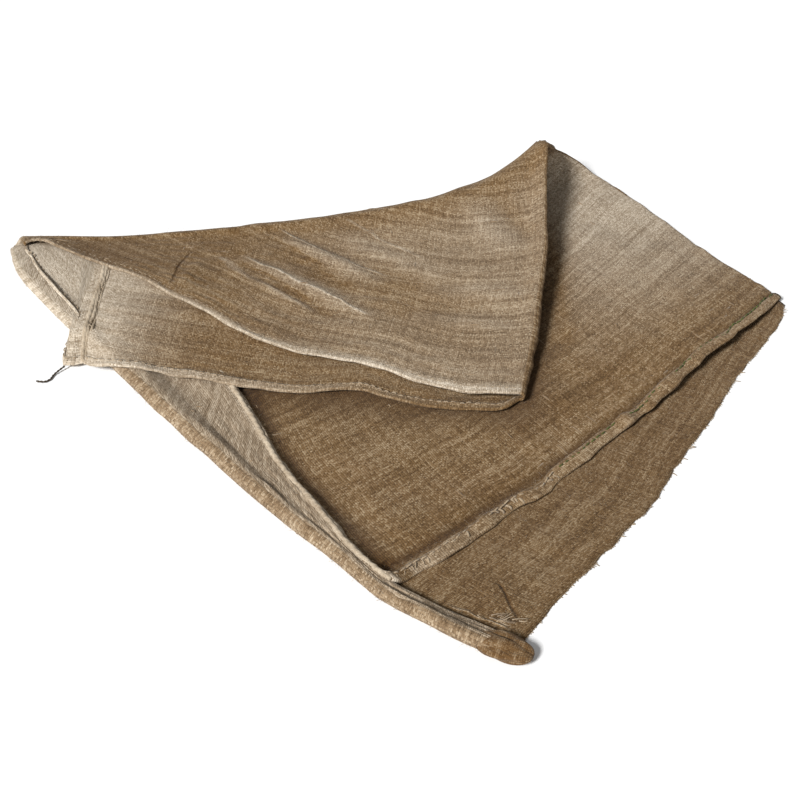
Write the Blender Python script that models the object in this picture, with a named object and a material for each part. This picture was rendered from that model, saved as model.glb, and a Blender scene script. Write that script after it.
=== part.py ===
"""An empty hessian sack, laid flat and then folded over on itself once.

The sack is one tube of cloth. Pressed flat it is two sheets: the front sheet lies on the back sheet, and
they join round a clean fold on the right and round a soft roll on the left. The side seam lies a hand's
width in from the roll, on the front sheet. The tube's bottom end points right and towards the viewer. Its
mouth end is turned over at the back, round a bend that stands high on the right and runs out to the left.
Lengths are in metres, +Z is up, and the origin is the middle of the footprint on the surface below.
"""

import math

import bpy
import numpy as np
from mathutils import Vector
from mathutils.bvhtree import BVHTree

CLOTH_THICKNESS = 0.002
MID_HEIGHT = CLOTH_THICKNESS / 2
CLEARANCE = 0.0042  # least height between the mid-surfaces of two layers that lie on each other
FULL_STRIP = 0.07  # the strip beside the roll has its full relief where it is this wide
ROLL_LAP = 0.150  # the lap's share of the roll's length
FOLD_LAP = 0.035  # the lap's share of the right fold's length
FOOTPRINT_MIDDLE = (-0.0166, 0.0451)  # the origin, in the coordinates of the tables below

# How many cells the cloth has along each stretch.
BASE_CELLS = 19  # from the bottom end to the turned-over bend
LAP_CELLS = 3  # of those, how many the back sheet and the strip have past the front sheet's end
BEND_CELLS = 8
FLAP_CELLS = 16  # from the bend to the mouth
STRIP_CELLS = 6  # from the roll to the side seam
FRONT_CELLS = 17  # from the side seam to the right fold
BACK_CELLS = 22  # from the right fold back to the roll
ROLL_CELLS = 4  # round the roll on the left
EDGE_CELLS = 3  # round the fold on the right
TAIL_CELLS = 12  # along the loose yarn

# Edges of the sheets. Each row is one point on the edge: x, y, height of the cloth's middle.
#                  x       y       height
FREE_EDGE = [   # the back sheet's bottom end, from the roll to the right fold
    (0.117, -0.392, 0.001),
    (0.128, -0.364, 0.001),
    (0.145, -0.337, 0.001),
    (0.176, -0.299, 0.001),
    (0.217, -0.247, 0.001),
    (0.269, -0.180, 0.001),
    (0.302, -0.117, 0.001),
    (0.359, -0.029, 0.001),
    (0.420, 0.062, 0.001),
    (0.450, 0.117, 0.001),
    (0.492, 0.187, 0.001),
]
STRIP_EDGE = [   # the strip's edge past the side seam, from the roll's end to the side seam
    (0.124, -0.378, 0.017),
    (0.104, -0.366, 0.017),
    (0.080, -0.352, 0.015),
    (0.040, -0.329, 0.014),
    (-0.005, -0.299, 0.013),
]
BAND_EDGE = [   # the front sheet's bottom end, from the side seam to the right fold
    (-0.005, -0.299, 0.013),
    (0.031, -0.268, 0.009),
    (0.084, -0.222, 0.008),
    (0.176, -0.138, 0.007),
    (0.225, -0.088, 0.007),
    (0.290, -0.022, 0.007),
    (0.361, 0.055, 0.007),
    (0.421, 0.118, 0.006),
    (0.486, 0.197, 0.0055),
]
ROLL_LINE = [   # the roll along the left, from the bottom end to the bend; height is its top
    (0.117, -0.392, 0.019),
    (0.075, -0.371, 0.018),
    (0.034, -0.345, 0.017),
    (-0.012, -0.313, 0.017),
    (-0.064, -0.256, 0.018),
    (-0.110, -0.206, 0.020),
    (-0.167, -0.137, 0.020),
    (-0.232, -0.062, 0.020),
    (-0.303, 0.027, 0.019),
    (-0.340, 0.070, 0.018),
    (-0.395, 0.130, 0.018),
    (-0.446, 0.184, 0.017),
    (-0.494, 0.250, 0.015),
    (-0.510, 0.304, 0.010),
]
SEAM_LINE = [   # the side seam, from the bottom end to the bend
    (-0.005, -0.299, 0.013),
    (-0.046, -0.246, 0.013),
    (-0.081, -0.198, 0.013),
    (-0.130, -0.116, 0.013),
    (-0.162, -0.058, 0.013),
    (-0.199, 0.008, 0.012),
    (-0.270, 0.130, 0.010),
    (-0.362, 0.311, 0.008),
]
RIGHT_FOLD = [  # the fold on the right, from the bottom end to the bend
    (0.492, 0.187, 0.0055),
    (0.486, 0.197, 0.0055),
    (0.469, 0.219, 0.0065),
    (0.413, 0.292, 0.007),
    (0.349, 0.391, 0.008),
    (0.301, 0.462, 0.009),
]
FLAP_EDGE = [   # the same fold on the flap, from the bend to the mouth; heights of upper and lower sheet
    (0.200, 0.440, 0.0960, 0.0900),
    (0.196, 0.395, 0.0790, 0.0720),
    (0.191, 0.325, 0.0630, 0.0550),
    (0.184, 0.240, 0.0540, 0.0440),
    (0.172, 0.169, 0.0460, 0.0330),
    (0.161, 0.101, 0.0380, 0.0220),
    (0.149, 0.037, 0.0310, 0.0140),
    (0.138, -0.018, 0.0270, 0.0115),
]
UPPER_MOUTH = [  # the mouth edge of the upper sheet, from the left tip to the right edge
    (-0.506, 0.272, 0.0270),
    (-0.488, 0.287, 0.0270),
    (-0.451, 0.285, 0.0275),
    (-0.386, 0.248, 0.0290),
    (-0.337, 0.214, 0.0300),
    (-0.290, 0.174, 0.0300),
    (-0.242, 0.140, 0.0290),
    (-0.206, 0.109, 0.0280),
    (-0.161, 0.081, 0.0260),
    (-0.119, 0.061, 0.0250),
    (-0.084, 0.053, 0.0240),
    (-0.027, 0.036, 0.0240),
    (0.022, 0.007, 0.0250),
    (0.071, -0.014, 0.0280),
    (0.110, -0.019, 0.0285),
    (0.138, -0.018, 0.0270),
]
LEFT_MOUTH = [  # the mouth edge of the lower sheet, from the left tip to the side seam
    (-0.506, 0.272, 0.0215),
    (-0.470, 0.232, 0.0210),
    (-0.431, 0.184, 0.0205),
    (-0.408, 0.155, 0.0210),
    (-0.398, 0.130, 0.0200),
    (-0.401, 0.098, 0.0150),
    (-0.404, 0.058, 0.0050),
]
LOWER_MOUTH = [  # the mouth edge of the lower sheet, from the side seam to the right edge
    (-0.404, 0.058, 0.0050),
    (-0.372, 0.050, 0.0120),
    (-0.342, 0.048, 0.0230),
    (-0.300, 0.042, 0.0210),
    (-0.240, 0.027, 0.0160),
    (-0.198, 0.014, 0.0160),
    (-0.156, 0.008, 0.0140),
    (-0.116, 0.003, 0.0120),
    (-0.066, 0.006, 0.0110),
    (-0.041, 0.001, 0.0110),
    (-0.016, -0.012, 0.0110),
    (0.013, -0.022, 0.0110),
    (0.046, -0.031, 0.0110),
    (0.081, -0.034, 0.0110),
    (0.118, -0.034, 0.0110),
    (0.138, -0.018, 0.0115),
]
FLAP_SEAM = [   # the side seam on the flap, from the bend to the mouth
    (-0.385, 0.311, 0.0180),
    (-0.378, 0.249, 0.0170),
    (-0.378, 0.161, 0.0160),
    (-0.385, 0.110, 0.0180),
    (-0.404, 0.058, 0.0050),
]
FLAP_TIP = [    # the left end of the flap, as short as a thumb; heights of upper and lower sheet
    (-0.520, 0.306, 0.0250, 0.0160),
    (-0.516, 0.290, 0.0265, 0.0200),
    (-0.506, 0.272, 0.0270, 0.0215),
]

# The bend: the line its centre stands over, its radius to the outer sheet, and how far inside the inner is.
#             x       y      radius  inset
BEND = [
    (-0.530, 0.306, 0.0120, 0.0090),
    (-0.458, 0.310, 0.0110, 0.0065),
    (-0.365, 0.310, 0.0112, 0.0060),
    (-0.227, 0.322, 0.0134, 0.0060),
    (-0.094, 0.339, 0.0172, 0.0060),
    (-0.019, 0.350, 0.0214, 0.0060),
    (0.044, 0.359, 0.0253, 0.0060),
    (0.090, 0.378, 0.0279, 0.0060),
    (0.128, 0.394, 0.0323, 0.0060),
    (0.166, 0.414, 0.0394, 0.0060),
    (0.186, 0.430, 0.0444, 0.0060),
    (0.200, 0.441, 0.0478, 0.0060),
    (0.210, 0.445, 0.0400, 0.0060),
    (0.232, 0.451, 0.0362, 0.0060),
    (0.264, 0.457, 0.0370, 0.0060),
    (0.300, 0.464, 0.0340, 0.0060),
]
# Where three lines of the cloth cross the bend, as x on its centre line: going in below, coming out on top.
#             below   above
BEND_TIP = (-0.510, -0.520)
BEND_SEAM = (-0.362, -0.385)
BEND_RIGHT = (0.296, 0.200)

# Height of the front sheet between the roll (0) and the side seam (1), over the straight line between them.
#              across  height
STRIP_PROFILE = [
    (0.00, 0.0000),
    (0.10, 0.0015),
    (0.20, -0.0045),
    (0.30, -0.0095),
    (0.50, -0.0070),
    (0.80, -0.0020),
    (0.93, 0.0000),
    (1.00, 0.0000),
]
# The same between the side seam (0) and the right fold (1).
FRONT_PROFILE = [
    (0.00, 0.0000),
    (0.05, -0.0050),
    (0.12, -0.0045),
    (0.50, -0.0010),
    (1.00, 0.0000),
]

# Soft ridges and troughs on the flap's upper sheet: from, to, half width, height.
#                   x0      y0      x1      y1     width   height
FLAP_FOLDS = [
    (-0.170, 0.290, -0.060, 0.190, 0.014, 0.004),
    (-0.235, 0.255, -0.080, 0.130, 0.013, 0.004),
    (-0.235, 0.205, -0.110, 0.115, 0.012, -0.003),
    (-0.420, 0.285, -0.200, 0.170, 0.030, -0.005),
    (-0.060, 0.230, 0.120, 0.070, 0.050, -0.004),
    (0.010, 0.120, 0.140, 0.085, 0.016, 0.003),
]
# The same on the front sheet under it.
BASE_FOLDS = [
    (0.060, -0.140, 0.300, 0.120, 0.030, 0.003),
    (0.160, -0.020, 0.330, 0.330, 0.035, 0.003),
    (-0.060, -0.130, 0.120, -0.010, 0.028, 0.002),
    (-0.120, -0.170, 0.020, -0.290, 0.014, 0.003),
]

TAIL_DIAMETER = 0.0025
# The loose end of the seam's yarn: x, y, height above the surface.
TAIL_ROUTE = [
    (-0.4043, 0.0578, 0.0050),
    (-0.4110, 0.0510, 0.0030),
    (-0.4160, 0.0445, 0.0014),
    (-0.4183, 0.0370, 0.0014),
    (-0.4235, 0.0325, 0.0014),
    (-0.4295, 0.0325, 0.0014),
    (-0.4347, 0.0336, 0.0014),
]


def material(name, color, roughness):
    """A plain cloth or yarn material."""
    made = bpy.data.materials.new(name)
    made.use_nodes = True
    shader = made.node_tree.nodes["Principled BSDF"]
    shader.inputs["Base Color"].default_value = (*color, 1.0)
    shader.inputs["Roughness"].default_value = roughness
    shader.inputs["Metallic"].default_value = 0.0
    return made


def along(rows, cells, lap=None):
    """cells + 1 points on a smooth curve through the rows, evenly spaced or with a share for the lap."""
    points = np.array(rows, float)
    padded = np.vstack([2 * points[0] - points[1], points, 2 * points[-1] - points[-2]])
    dense = [points[:1]]
    for before, start, end, after in zip(padded, padded[1:], padded[2:], padded[3:]):
        t = np.linspace(0, 1, 17)[1:, None]
        dense.append(
            0.5
            * (
                2 * start
                + (end - before) * t
                + (2 * before - 5 * start + 4 * end - after) * t**2
                + (3 * start - before - 3 * end + after) * t**3
            )
        )
    dense = np.vstack(dense)
    steps = np.linalg.norm(np.diff(dense[:, :2], axis=0), axis=1)
    reached = np.concatenate([[0], np.cumsum(steps)])
    share = np.linspace(0, 1, cells + 1)
    if lap is not None:
        share = np.interp(np.arange(cells + 1), [0, LAP_CELLS, cells], [0, lap, 1])
    wanted = share * reached[-1]
    return np.stack([np.interp(wanted, reached, column) for column in dense.T], axis=1)


def patch(first, last, left, right):
    """A grid of points between four edges: rows go from first to last, columns from left to right."""
    s = np.linspace(0, 1, len(left))[:, None, None]
    t = np.linspace(0, 1, len(first))[None, :, None]
    lengthwise = (1 - s) * first[None] + s * last[None]
    across = (1 - t) * left[:, None] + t * right[:, None]
    ends = (1 - s) * ((1 - t) * first[0] + t * first[-1]) + s * ((1 - t) * last[0] + t * last[-1])
    return lengthwise + across - ends


def fold_height(points, rows):
    """The summed height of soft ridges and troughs at each point, which fade out at both ends."""
    total = np.zeros(points.shape[:-1])
    for x0, y0, x1, y1, width, height in rows:
        start, way = np.array([x0, y0]), np.array([x1 - x0, y1 - y0])
        position = ((points[..., :2] - start) @ way) / (way @ way)
        nearest = start + np.clip(position, 0, 1)[..., None] * way
        distance = np.linalg.norm(points[..., :2] - nearest, axis=-1)
        fade = np.sin(np.pi * np.clip(position, 0, 1)) ** 0.7
        total += height * fade * np.exp(-((distance / width) ** 2))
    return total


def profile(rows, cells):
    """The heights of a cross profile at cells + 1 even steps."""
    table = np.array(rows)
    return np.interp(np.linspace(0, 1, cells + 1), table[:, 0], table[:, 1])


def bend_points(below, above, angle, inner):
    """Points round the bend at an angle from straight down: below and above are x on its centre line."""
    table = np.array(along(BEND, 200))
    f = angle / math.pi
    x = (1 - f) * below + f * above
    y, radius, inset = (np.interp(x, table[:, 0], table[:, k]) for k in (1, 2, 3))
    slope = np.gradient(table[:, 1], table[:, 0])
    slope = np.interp(x, table[:, 0], slope)
    outward = np.stack([-slope, np.ones_like(slope)], axis=1)
    outward /= np.linalg.norm(outward, axis=1)[:, None]
    reach = radius - inset * inner
    plan = np.stack([x, y], axis=1) + outward * (reach * math.sin(angle))[:, None]
    height = MID_HEIGHT + radius - reach * math.cos(angle)
    return np.column_stack([plan, height])


def bend_columns(start, end, cells, inner, angle):
    """One row of the bend, from one crossing line to the next."""
    below = np.linspace(start[0], end[0], cells + 1)
    above = np.linspace(start[1], end[1], cells + 1)
    return bend_points(below, above, angle, inner)


def column(rows, which):
    """A table with two heights, with only one of them kept."""
    return [(row[0], row[1], row[which]) for row in rows]


def base_sheets():
    """The front and back sheets that lie on the surface, as grids of rows from the bottom end to the bend.

    The front sheet has no cloth in the lap's rows right of the side seam: those repeat its end.
    """
    tip_top = bend_columns(BEND_TIP, BEND_SEAM, STRIP_CELLS, 1, 0)
    front_top = bend_columns(BEND_SEAM, BEND_RIGHT, FRONT_CELLS, 1, 0)
    back_top = bend_columns(BEND_TIP, BEND_RIGHT, BACK_CELLS, 0, 0)
    roll = along(ROLL_LINE, BASE_CELLS, ROLL_LAP)
    seam = np.concatenate([along(STRIP_EDGE, LAP_CELLS)[:-1], along(SEAM_LINE, BASE_CELLS - LAP_CELLS)])
    right = along(RIGHT_FOLD, BASE_CELLS, FOLD_LAP)
    for edge, corner in ((roll, tip_top[0]), (seam, front_top[0]), (right, front_top[-1])):
        edge += (corner - edge[-1]) * np.linspace(0, 1, len(edge))[:, None] ** 3
    strip = np.linspace(roll, seam, STRIP_CELLS + 1, axis=1)
    share = np.linspace(0, 1, BASE_CELLS + 1)
    strip += share[:, None, None] ** 8 * (tip_top - strip[-1])
    fade = np.cos(share * np.pi / 2) ** 0.4
    relief = fade * np.clip(np.linalg.norm(seam[:, :2] - roll[:, :2], axis=1) / FULL_STRIP, 0, 1)
    strip[:, :, 2] += relief[:, None] * profile(STRIP_PROFILE, STRIP_CELLS)
    strip[:, :, 2] += fold_height(strip, BASE_FOLDS)
    front = patch(along(BAND_EDGE, FRONT_CELLS), front_top, seam[LAP_CELLS:], right[LAP_CELLS:])
    front[:, :, 2] += fade[LAP_CELLS:, None] * profile(FRONT_PROFILE, FRONT_CELLS)
    front[:, :, 2] += fold_height(front, BASE_FOLDS)
    front = np.concatenate([np.repeat(front[:1], LAP_CELLS, axis=0), front])
    back = patch(along(FREE_EDGE, BACK_CELLS), back_top, roll, right)
    back[:, :, 2] = MID_HEIGHT
    return np.concatenate([strip, front[:, 1:]], axis=1), back


def flap_sheets():
    """The two sheets of the turned-over flap, as grids of rows from the bend to the mouth."""
    tip_top = bend_columns(BEND_TIP, BEND_SEAM, STRIP_CELLS, 1, math.pi)
    front_top = bend_columns(BEND_SEAM, BEND_RIGHT, FRONT_CELLS, 1, math.pi)
    back_top = bend_columns(BEND_TIP, BEND_RIGHT, BACK_CELLS, 0, math.pi)
    edges = {
        "tip below": (along(column(FLAP_TIP, 3), FLAP_CELLS), tip_top[0]),
        "tip above": (along(column(FLAP_TIP, 2), FLAP_CELLS), back_top[0]),
        "seam": (along(FLAP_SEAM, FLAP_CELLS), front_top[0]),
        "right below": (along(column(FLAP_EDGE, 3), FLAP_CELLS), front_top[-1]),
        "right above": (along(column(FLAP_EDGE, 2), FLAP_CELLS), back_top[-1]),
    }
    for edge, corner in edges.values():
        edge += (corner - edge[0]) * np.linspace(1, 0, len(edge))[:, None] ** 3
    tip_below, tip_above, seam, right_below, right_above = (edge for edge, _ in edges.values())
    strip = patch(tip_top, along(LEFT_MOUTH, STRIP_CELLS), tip_below, seam)
    front = patch(front_top, along(LOWER_MOUTH, FRONT_CELLS), seam, right_below)
    back = patch(back_top, along(UPPER_MOUTH, BACK_CELLS), tip_above, right_above)
    back[:, :, 2] += fold_height(back, FLAP_FOLDS)
    return np.concatenate([strip[:, :-1], front], axis=1), back


def grid_faces(rows, columns):
    """The four corners of each cell of a grid of points, numbered row by row."""
    corners = []
    for i in range(rows - 1):
        for j in range(columns - 1):
            here = i * columns + j
            corners.append((here, here + 1, here + columns + 1, here + columns))
    return corners


def tube_faces(rows, columns):
    """The same for a grid that closes round the tube, without the lap's cells that hold no cloth."""
    corners = []
    bare = range(STRIP_CELLS, STRIP_CELLS + FRONT_CELLS + EDGE_CELLS)
    for i in range(rows - 1):
        for j in range(columns):
            if i >= LAP_CELLS or j not in bare:
                here, following = i * columns + j, i * columns + (j + 1) % columns
                corners.append((here, following, following + columns, here + columns))
    return corners


def side_bend(start, end, outward, cells):
    """The points strictly between two grid columns, round a half turn that bulges outward."""
    middle, half = (start + end) / 2, (start - end) / 2
    bulge = outward * np.linalg.norm(half, axis=1)[:, None]
    turned = [
        middle + half * math.cos(math.pi * k / cells) + bulge * math.sin(math.pi * k / cells)
        for k in range(1, cells)
    ]
    return np.stack(turned, axis=1)


def outward_of(edge, side):
    """The level direction out of the tube along its edge: side is 1 for the right edge, -1 for the left.

    It is square to the edge on the base and on the flap, and turns from one to the other round the bend.
    """
    way = np.gradient(edge[:, :2], axis=0)
    across = np.stack([way[:, 1], -way[:, 0], np.zeros(len(way))], axis=1) * side
    across /= np.linalg.norm(across, axis=1)[:, None]
    first, last = BASE_CELLS - 1, BASE_CELLS + BEND_CELLS + 1
    if len(edge) > last:
        across[last:] *= -1
        turned = np.linspace(0, 1, last - first + 1)[:, None]
        across[first : last + 1] = (1 - turned) * across[first] + turned * across[last]
        across /= np.linalg.norm(across, axis=1)[:, None]
    return across


def lifted(sheet, under, faces):
    """The sheet, raised wherever it would come nearer than CLEARANCE to the grid under it."""
    surface = BVHTree.FromPolygons(under.reshape(-1, 3).tolist(), faces(*under.shape[:2]))
    for point in sheet.reshape(-1, 3):
        place = surface.ray_cast(Vector((point[0], point[1], 1.0)), Vector((0, 0, -1)))[0]
        if place is not None:
            point[2] = max(point[2], place.z + CLEARANCE)
    return sheet


def ring(front, back):
    """The front sheet and, from right to left, the back sheet, joined round the fold and the roll."""
    right = side_bend(front[:, -1], back[:, 0], outward_of(back[:, 0], 1), EDGE_CELLS)
    roll = side_bend(back[:, -1], front[:, 0], outward_of(back[:, -1], -1), ROLL_CELLS)
    return np.concatenate([front, right, back, roll], axis=1)


def tube():
    """The whole sack as a grid: rows from the bottom end to the mouth, columns round the tube."""
    base_front, base_back = base_sheets()
    flap_front, flap_back = flap_sheets()
    flap_front[1:] = lifted(flap_front[1:], ring(base_front, base_back[:, ::-1]), tube_faces)
    flap_back[1:] = lifted(flap_back[1:], flap_front, grid_faces)
    fronts, backs = [base_front], [base_back]
    for k in range(1, BEND_CELLS):
        angle = math.pi * k / BEND_CELLS
        strip = bend_columns(BEND_TIP, BEND_SEAM, STRIP_CELLS, 1, angle)
        front = bend_columns(BEND_SEAM, BEND_RIGHT, FRONT_CELLS, 1, angle)
        fronts.append(np.concatenate([strip[:-1], front])[None])
        backs.append(bend_columns(BEND_TIP, BEND_RIGHT, BACK_CELLS, 0, angle)[None])
    front = np.concatenate(fronts + [flap_front])
    return ring(front, np.concatenate(backs + [flap_back])[:, ::-1])


def sack():
    """The cloth: the grid as a mesh, made as thick as the cloth is."""
    grid = tube()
    rows, columns, _ = grid.shape
    mesh = bpy.data.meshes.new("sack_cloth")
    points = (grid - (*FOOTPRINT_MIDDLE, 0)).reshape(-1, 3)
    faces = np.array(tube_faces(rows, columns))
    used, numbered = np.unique(faces, return_inverse=True)
    mesh.from_pydata(points[used].tolist(), [], numbered.reshape(faces.shape).tolist())
    mesh.shade_smooth()
    cloth = bpy.data.objects.new("sack_cloth", mesh)
    bpy.context.collection.objects.link(cloth)
    cloth.data.materials.append(material("hessian", (0.30, 0.21, 0.12), 0.92))
    shell = cloth.modifiers.new("thickness", "SOLIDIFY")
    shell.thickness = CLOTH_THICKNESS
    shell.offset = 0.0
    return cloth


def tail():
    """The loose end of the seam's yarn, a thin round cord that lies on the surface."""
    line = bpy.data.curves.new("seam_yarn_tail", "CURVE")
    line.dimensions = "3D"
    line.bevel_depth = TAIL_DIAMETER / 2
    line.bevel_resolution = 2
    line.use_fill_caps = True
    points = along(TAIL_ROUTE, TAIL_CELLS) - (*FOOTPRINT_MIDDLE, 0)
    spline = line.splines.new("POLY")
    spline.points.add(len(points) - 1)
    for place, point in zip(spline.points, points):
        place.co = (*point, 1.0)
    cord = bpy.data.objects.new("seam_yarn_tail", line)
    bpy.context.collection.objects.link(cord)
    cord.data.materials.append(material("jute_yarn", (0.16, 0.12, 0.08), 0.95))
    return cord


def main():
    for old in list(bpy.data.objects):
        bpy.data.objects.remove(old)
    sack()
    tail()


main()
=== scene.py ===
"""The looks of an empty hessian sack that lies folded over once.

The cloth is one tube: pressed flat it is a front and a back sheet that join round a fold on the right and
round a soft roll on the left. The side seam lies on the front sheet, a hand's width in from the roll. The
bottom end points right and towards the viewer, and the mouth end is turned over at the back. The tables
hold the lay of the cloth in metres, +Z up, from the middle of the camera's view.
"""

import math

import bpy
import numpy as np
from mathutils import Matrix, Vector
from mathutils.bvhtree import BVHTree


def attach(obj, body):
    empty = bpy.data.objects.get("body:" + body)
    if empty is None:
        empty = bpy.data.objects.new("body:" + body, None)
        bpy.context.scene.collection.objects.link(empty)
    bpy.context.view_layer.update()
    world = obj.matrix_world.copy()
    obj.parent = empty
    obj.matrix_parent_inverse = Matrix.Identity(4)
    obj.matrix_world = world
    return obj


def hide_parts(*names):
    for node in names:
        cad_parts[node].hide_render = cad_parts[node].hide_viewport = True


FOOTPRINT_MIDDLE = (-0.0166, 0.0451)  # the frame's origin, in the coordinates of the tables below

# ---------------------------------------------------------------- the cloth's sizes and cells

CLOTH_THICKNESS = 0.0014
MID_HEIGHT = 0.0009  # of the middle of a layer that lies on the surface
CLEARANCE = 0.0042  # least height between the mid-surfaces of two layers that lie on each other
CUT_LENGTH = 0.97  # from the bottom end to the mouth, along the threads
FULL_STRIP = 0.07  # the strip beside the roll has its full relief where it is this wide
ROLL_LAP = 0.150  # the lap's share of the roll's length
FOLD_LAP = 0.035  # the lap's share of the right fold's length

LAP_CELLS = 12  # rows that the back sheet and the strip have past the front sheet's end
BASE_CELLS = 82  # rows from the bottom end to the turned-over bend, the lap included
BEND_CELLS = 24
FLAP_CELLS = 76  # rows from the bend to the mouth
STRIP_CELLS = 26  # columns from the roll to the side seam
FRONT_CELLS = 82  # columns from the side seam to the right fold
BACK_CELLS = 92  # columns from the right fold back to the roll
ROLL_CELLS = 12  # columns round the roll on the left
EDGE_CELLS = 8  # columns round the fold on the right

# ---------------------------------------------------------------- the lay of the cloth

# Edges of the sheets. Each row is one point on the edge: x, y, height of the cloth's middle.
FREE_EDGE = [  # the back sheet's bottom end, flat on the surface, from the roll to the right fold; no heights
    (0.117, -0.392),
    (0.130, -0.365),
    (0.150, -0.338),
    (0.177, -0.301),
    (0.218, -0.249),
    (0.271, -0.185),
    (0.307, -0.124),
    (0.362, -0.035),
    (0.420, 0.060),
    (0.455, 0.113),
    (0.482, 0.150),
    (0.492, 0.187),
]
STRIP_EDGE = [  # the strip's edge past the side seam, from the roll's end to the side seam
    (0.116, -0.376, 0.0105),
    (0.102, -0.366, 0.0095),
    (0.080, -0.352, 0.0085),
    (0.040, -0.329, 0.0085),
    (-0.010, -0.2985, 0.0130),
]
BAND_EDGE = [  # the front sheet's bottom end, from the side seam to the right fold
    (-0.010, -0.2985, 0.0130),
    (0.031, -0.268, 0.0100),
    (0.084, -0.222, 0.0080),
    (0.130, -0.181, 0.0068),
    (0.176, -0.138, 0.0062),
    (0.225, -0.088, 0.0070),
    (0.290, -0.022, 0.0095),
    (0.361, 0.055, 0.0150),
    (0.421, 0.118, 0.0150),
    (0.462, 0.166, 0.0100),
    (0.486, 0.197, 0.0055),
]
ROLL_LINE = [  # the roll along the left, from the bottom end to the bend; height is its top
    (0.112, -0.387, 0.0150),
    (0.075, -0.371, 0.0175),
    (0.034, -0.345, 0.017),
    (-0.012, -0.313, 0.017),
    (-0.064, -0.256, 0.018),
    (-0.112, -0.208, 0.021),
    (-0.1715, -0.1415, 0.0215),
    (-0.2365, -0.0665, 0.0215),
    (-0.3095, 0.0205, 0.0205),
    (-0.346, 0.064, 0.020),
    (-0.398, 0.127, 0.019),
    (-0.446, 0.184, 0.017),
    (-0.494, 0.250, 0.015),
    (-0.518, 0.304, 0.010),
]
SEAM_LINE = [  # the side seam, from the bottom end to the bend
    (-0.010, -0.2985, 0.0130),
    (-0.031, -0.2800, 0.0150),
    (-0.057, -0.2480, 0.0160),
    (-0.080, -0.2130, 0.0160),
    (-0.101, -0.1800, 0.0160),
    (-0.1240, -0.1440, 0.0160),
    (-0.1430, -0.1090, 0.0155),
    (-0.1670, -0.0570, 0.0155),
    (-0.199, 0.008, 0.0145),
    (-0.270, 0.130, 0.0120),
    (-0.362, 0.311, 0.008),
]
RIGHT_FOLD = [  # the fold on the right, from the bottom end to the bend
    (0.492, 0.187, 0.0055),
    (0.486, 0.197, 0.0055),
    (0.469, 0.219, 0.0065),
    (0.413, 0.292, 0.007),
    (0.349, 0.391, 0.008),
    (0.301, 0.462, 0.009),
]
FLAP_EDGE = [  # the same fold on the flap, from the bend to the mouth; heights of upper and lower sheet
    (0.200, 0.440, 0.0960, 0.0900),
    (0.196, 0.395, 0.0790, 0.0720),
    (0.191, 0.325, 0.0630, 0.0550),
    (0.184, 0.240, 0.0540, 0.0440),
    (0.172, 0.169, 0.0460, 0.0330),
    (0.161, 0.101, 0.0380, 0.0220),
    (0.149, 0.037, 0.0310, 0.0140),
    (0.138, -0.018, 0.0270, 0.0115),
]
UPPER_MOUTH = [  # the mouth edge of the upper sheet, from the left tip to the right edge
    (-0.4965, 0.2965, 0.0255),
    (-0.4900, 0.3010, 0.0260),
    (-0.4716, 0.3000, 0.0270),
    (-0.4488, 0.2855, 0.0275),
    (-0.4189, 0.2660, 0.0280),
    (-0.3853, 0.2445, 0.0285),
    (-0.3366, 0.2129, 0.0290),
    (-0.2894, 0.1735, 0.0295),
    (-0.2420, 0.1400, 0.0290),
    (-0.2060, 0.1090, 0.0280),
    (-0.1610, 0.0810, 0.0260),
    (-0.1190, 0.0610, 0.0250),
    (-0.0840, 0.0530, 0.0240),
    (-0.0270, 0.0360, 0.0240),
    (0.0220, 0.0070, 0.0250),
    (0.0710, -0.0140, 0.0280),
    (0.1100, -0.0190, 0.0285),
    (0.1380, -0.0180, 0.0270),
]
LEFT_MOUTH = [  # the mouth edge of the lower sheet, from the left tip to the side seam
    (-0.4965, 0.2965, 0.0195),
    (-0.4930, 0.2835, 0.0195),
    (-0.4830, 0.2640, 0.0205),
    (-0.4680, 0.2345, 0.0220),
    (-0.4395, 0.1920, 0.0228),
    (-0.4131, 0.1555, 0.0220),
    (-0.3990, 0.1330, 0.0190),
    (-0.3985, 0.1070, 0.0135),
    (-0.4030, 0.0850, 0.0080),
    (-0.4050, 0.0620, 0.0052),
    (-0.3960, 0.0590, 0.0052),
    (-0.3830, 0.0640, 0.0055),
]
LOWER_MOUTH = [  # the mouth edge of the lower sheet, from the side seam to the right edge
    (-0.3830, 0.0640, 0.0055),
    (-0.364, 0.0500, 0.0115),
    (-0.338, 0.0360, 0.0200),
    (-0.300, 0.028, 0.0190),
    (-0.240, 0.019, 0.0160),
    (-0.198, 0.007, 0.0160),
    (-0.156, 0.002, 0.0140),
    (-0.116, -0.002, 0.0120),
    (-0.066, 0.002, 0.0110),
    (-0.041, 0.001, 0.0110),
    (-0.016, -0.012, 0.0110),
    (0.013, -0.022, 0.0110),
    (0.046, -0.031, 0.0110),
    (0.081, -0.034, 0.0110),
    (0.118, -0.034, 0.0110),
    (0.138, -0.018, 0.0115),
]
FLAP_SEAM = [  # the side seam on the flap, from the bend to the mouth
    (-0.3850, 0.3110, 0.0180),
    (-0.3831, 0.2445, 0.0228),
    (-0.3824, 0.2052, 0.0230),
    (-0.3838, 0.1654, 0.0220),
    (-0.3842, 0.1300, 0.0185),
    (-0.3845, 0.1000, 0.0125),
    (-0.3830, 0.0640, 0.0055),
]
FLAP_TIP = [  # the left end of the flap, as short as a thumb; heights of upper and lower sheet
    (-0.5000, 0.3060, 0.0250, 0.0160),
    (-0.4985, 0.3015, 0.0255, 0.0185),
    (-0.4965, 0.2965, 0.0255, 0.0195),
]

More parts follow.
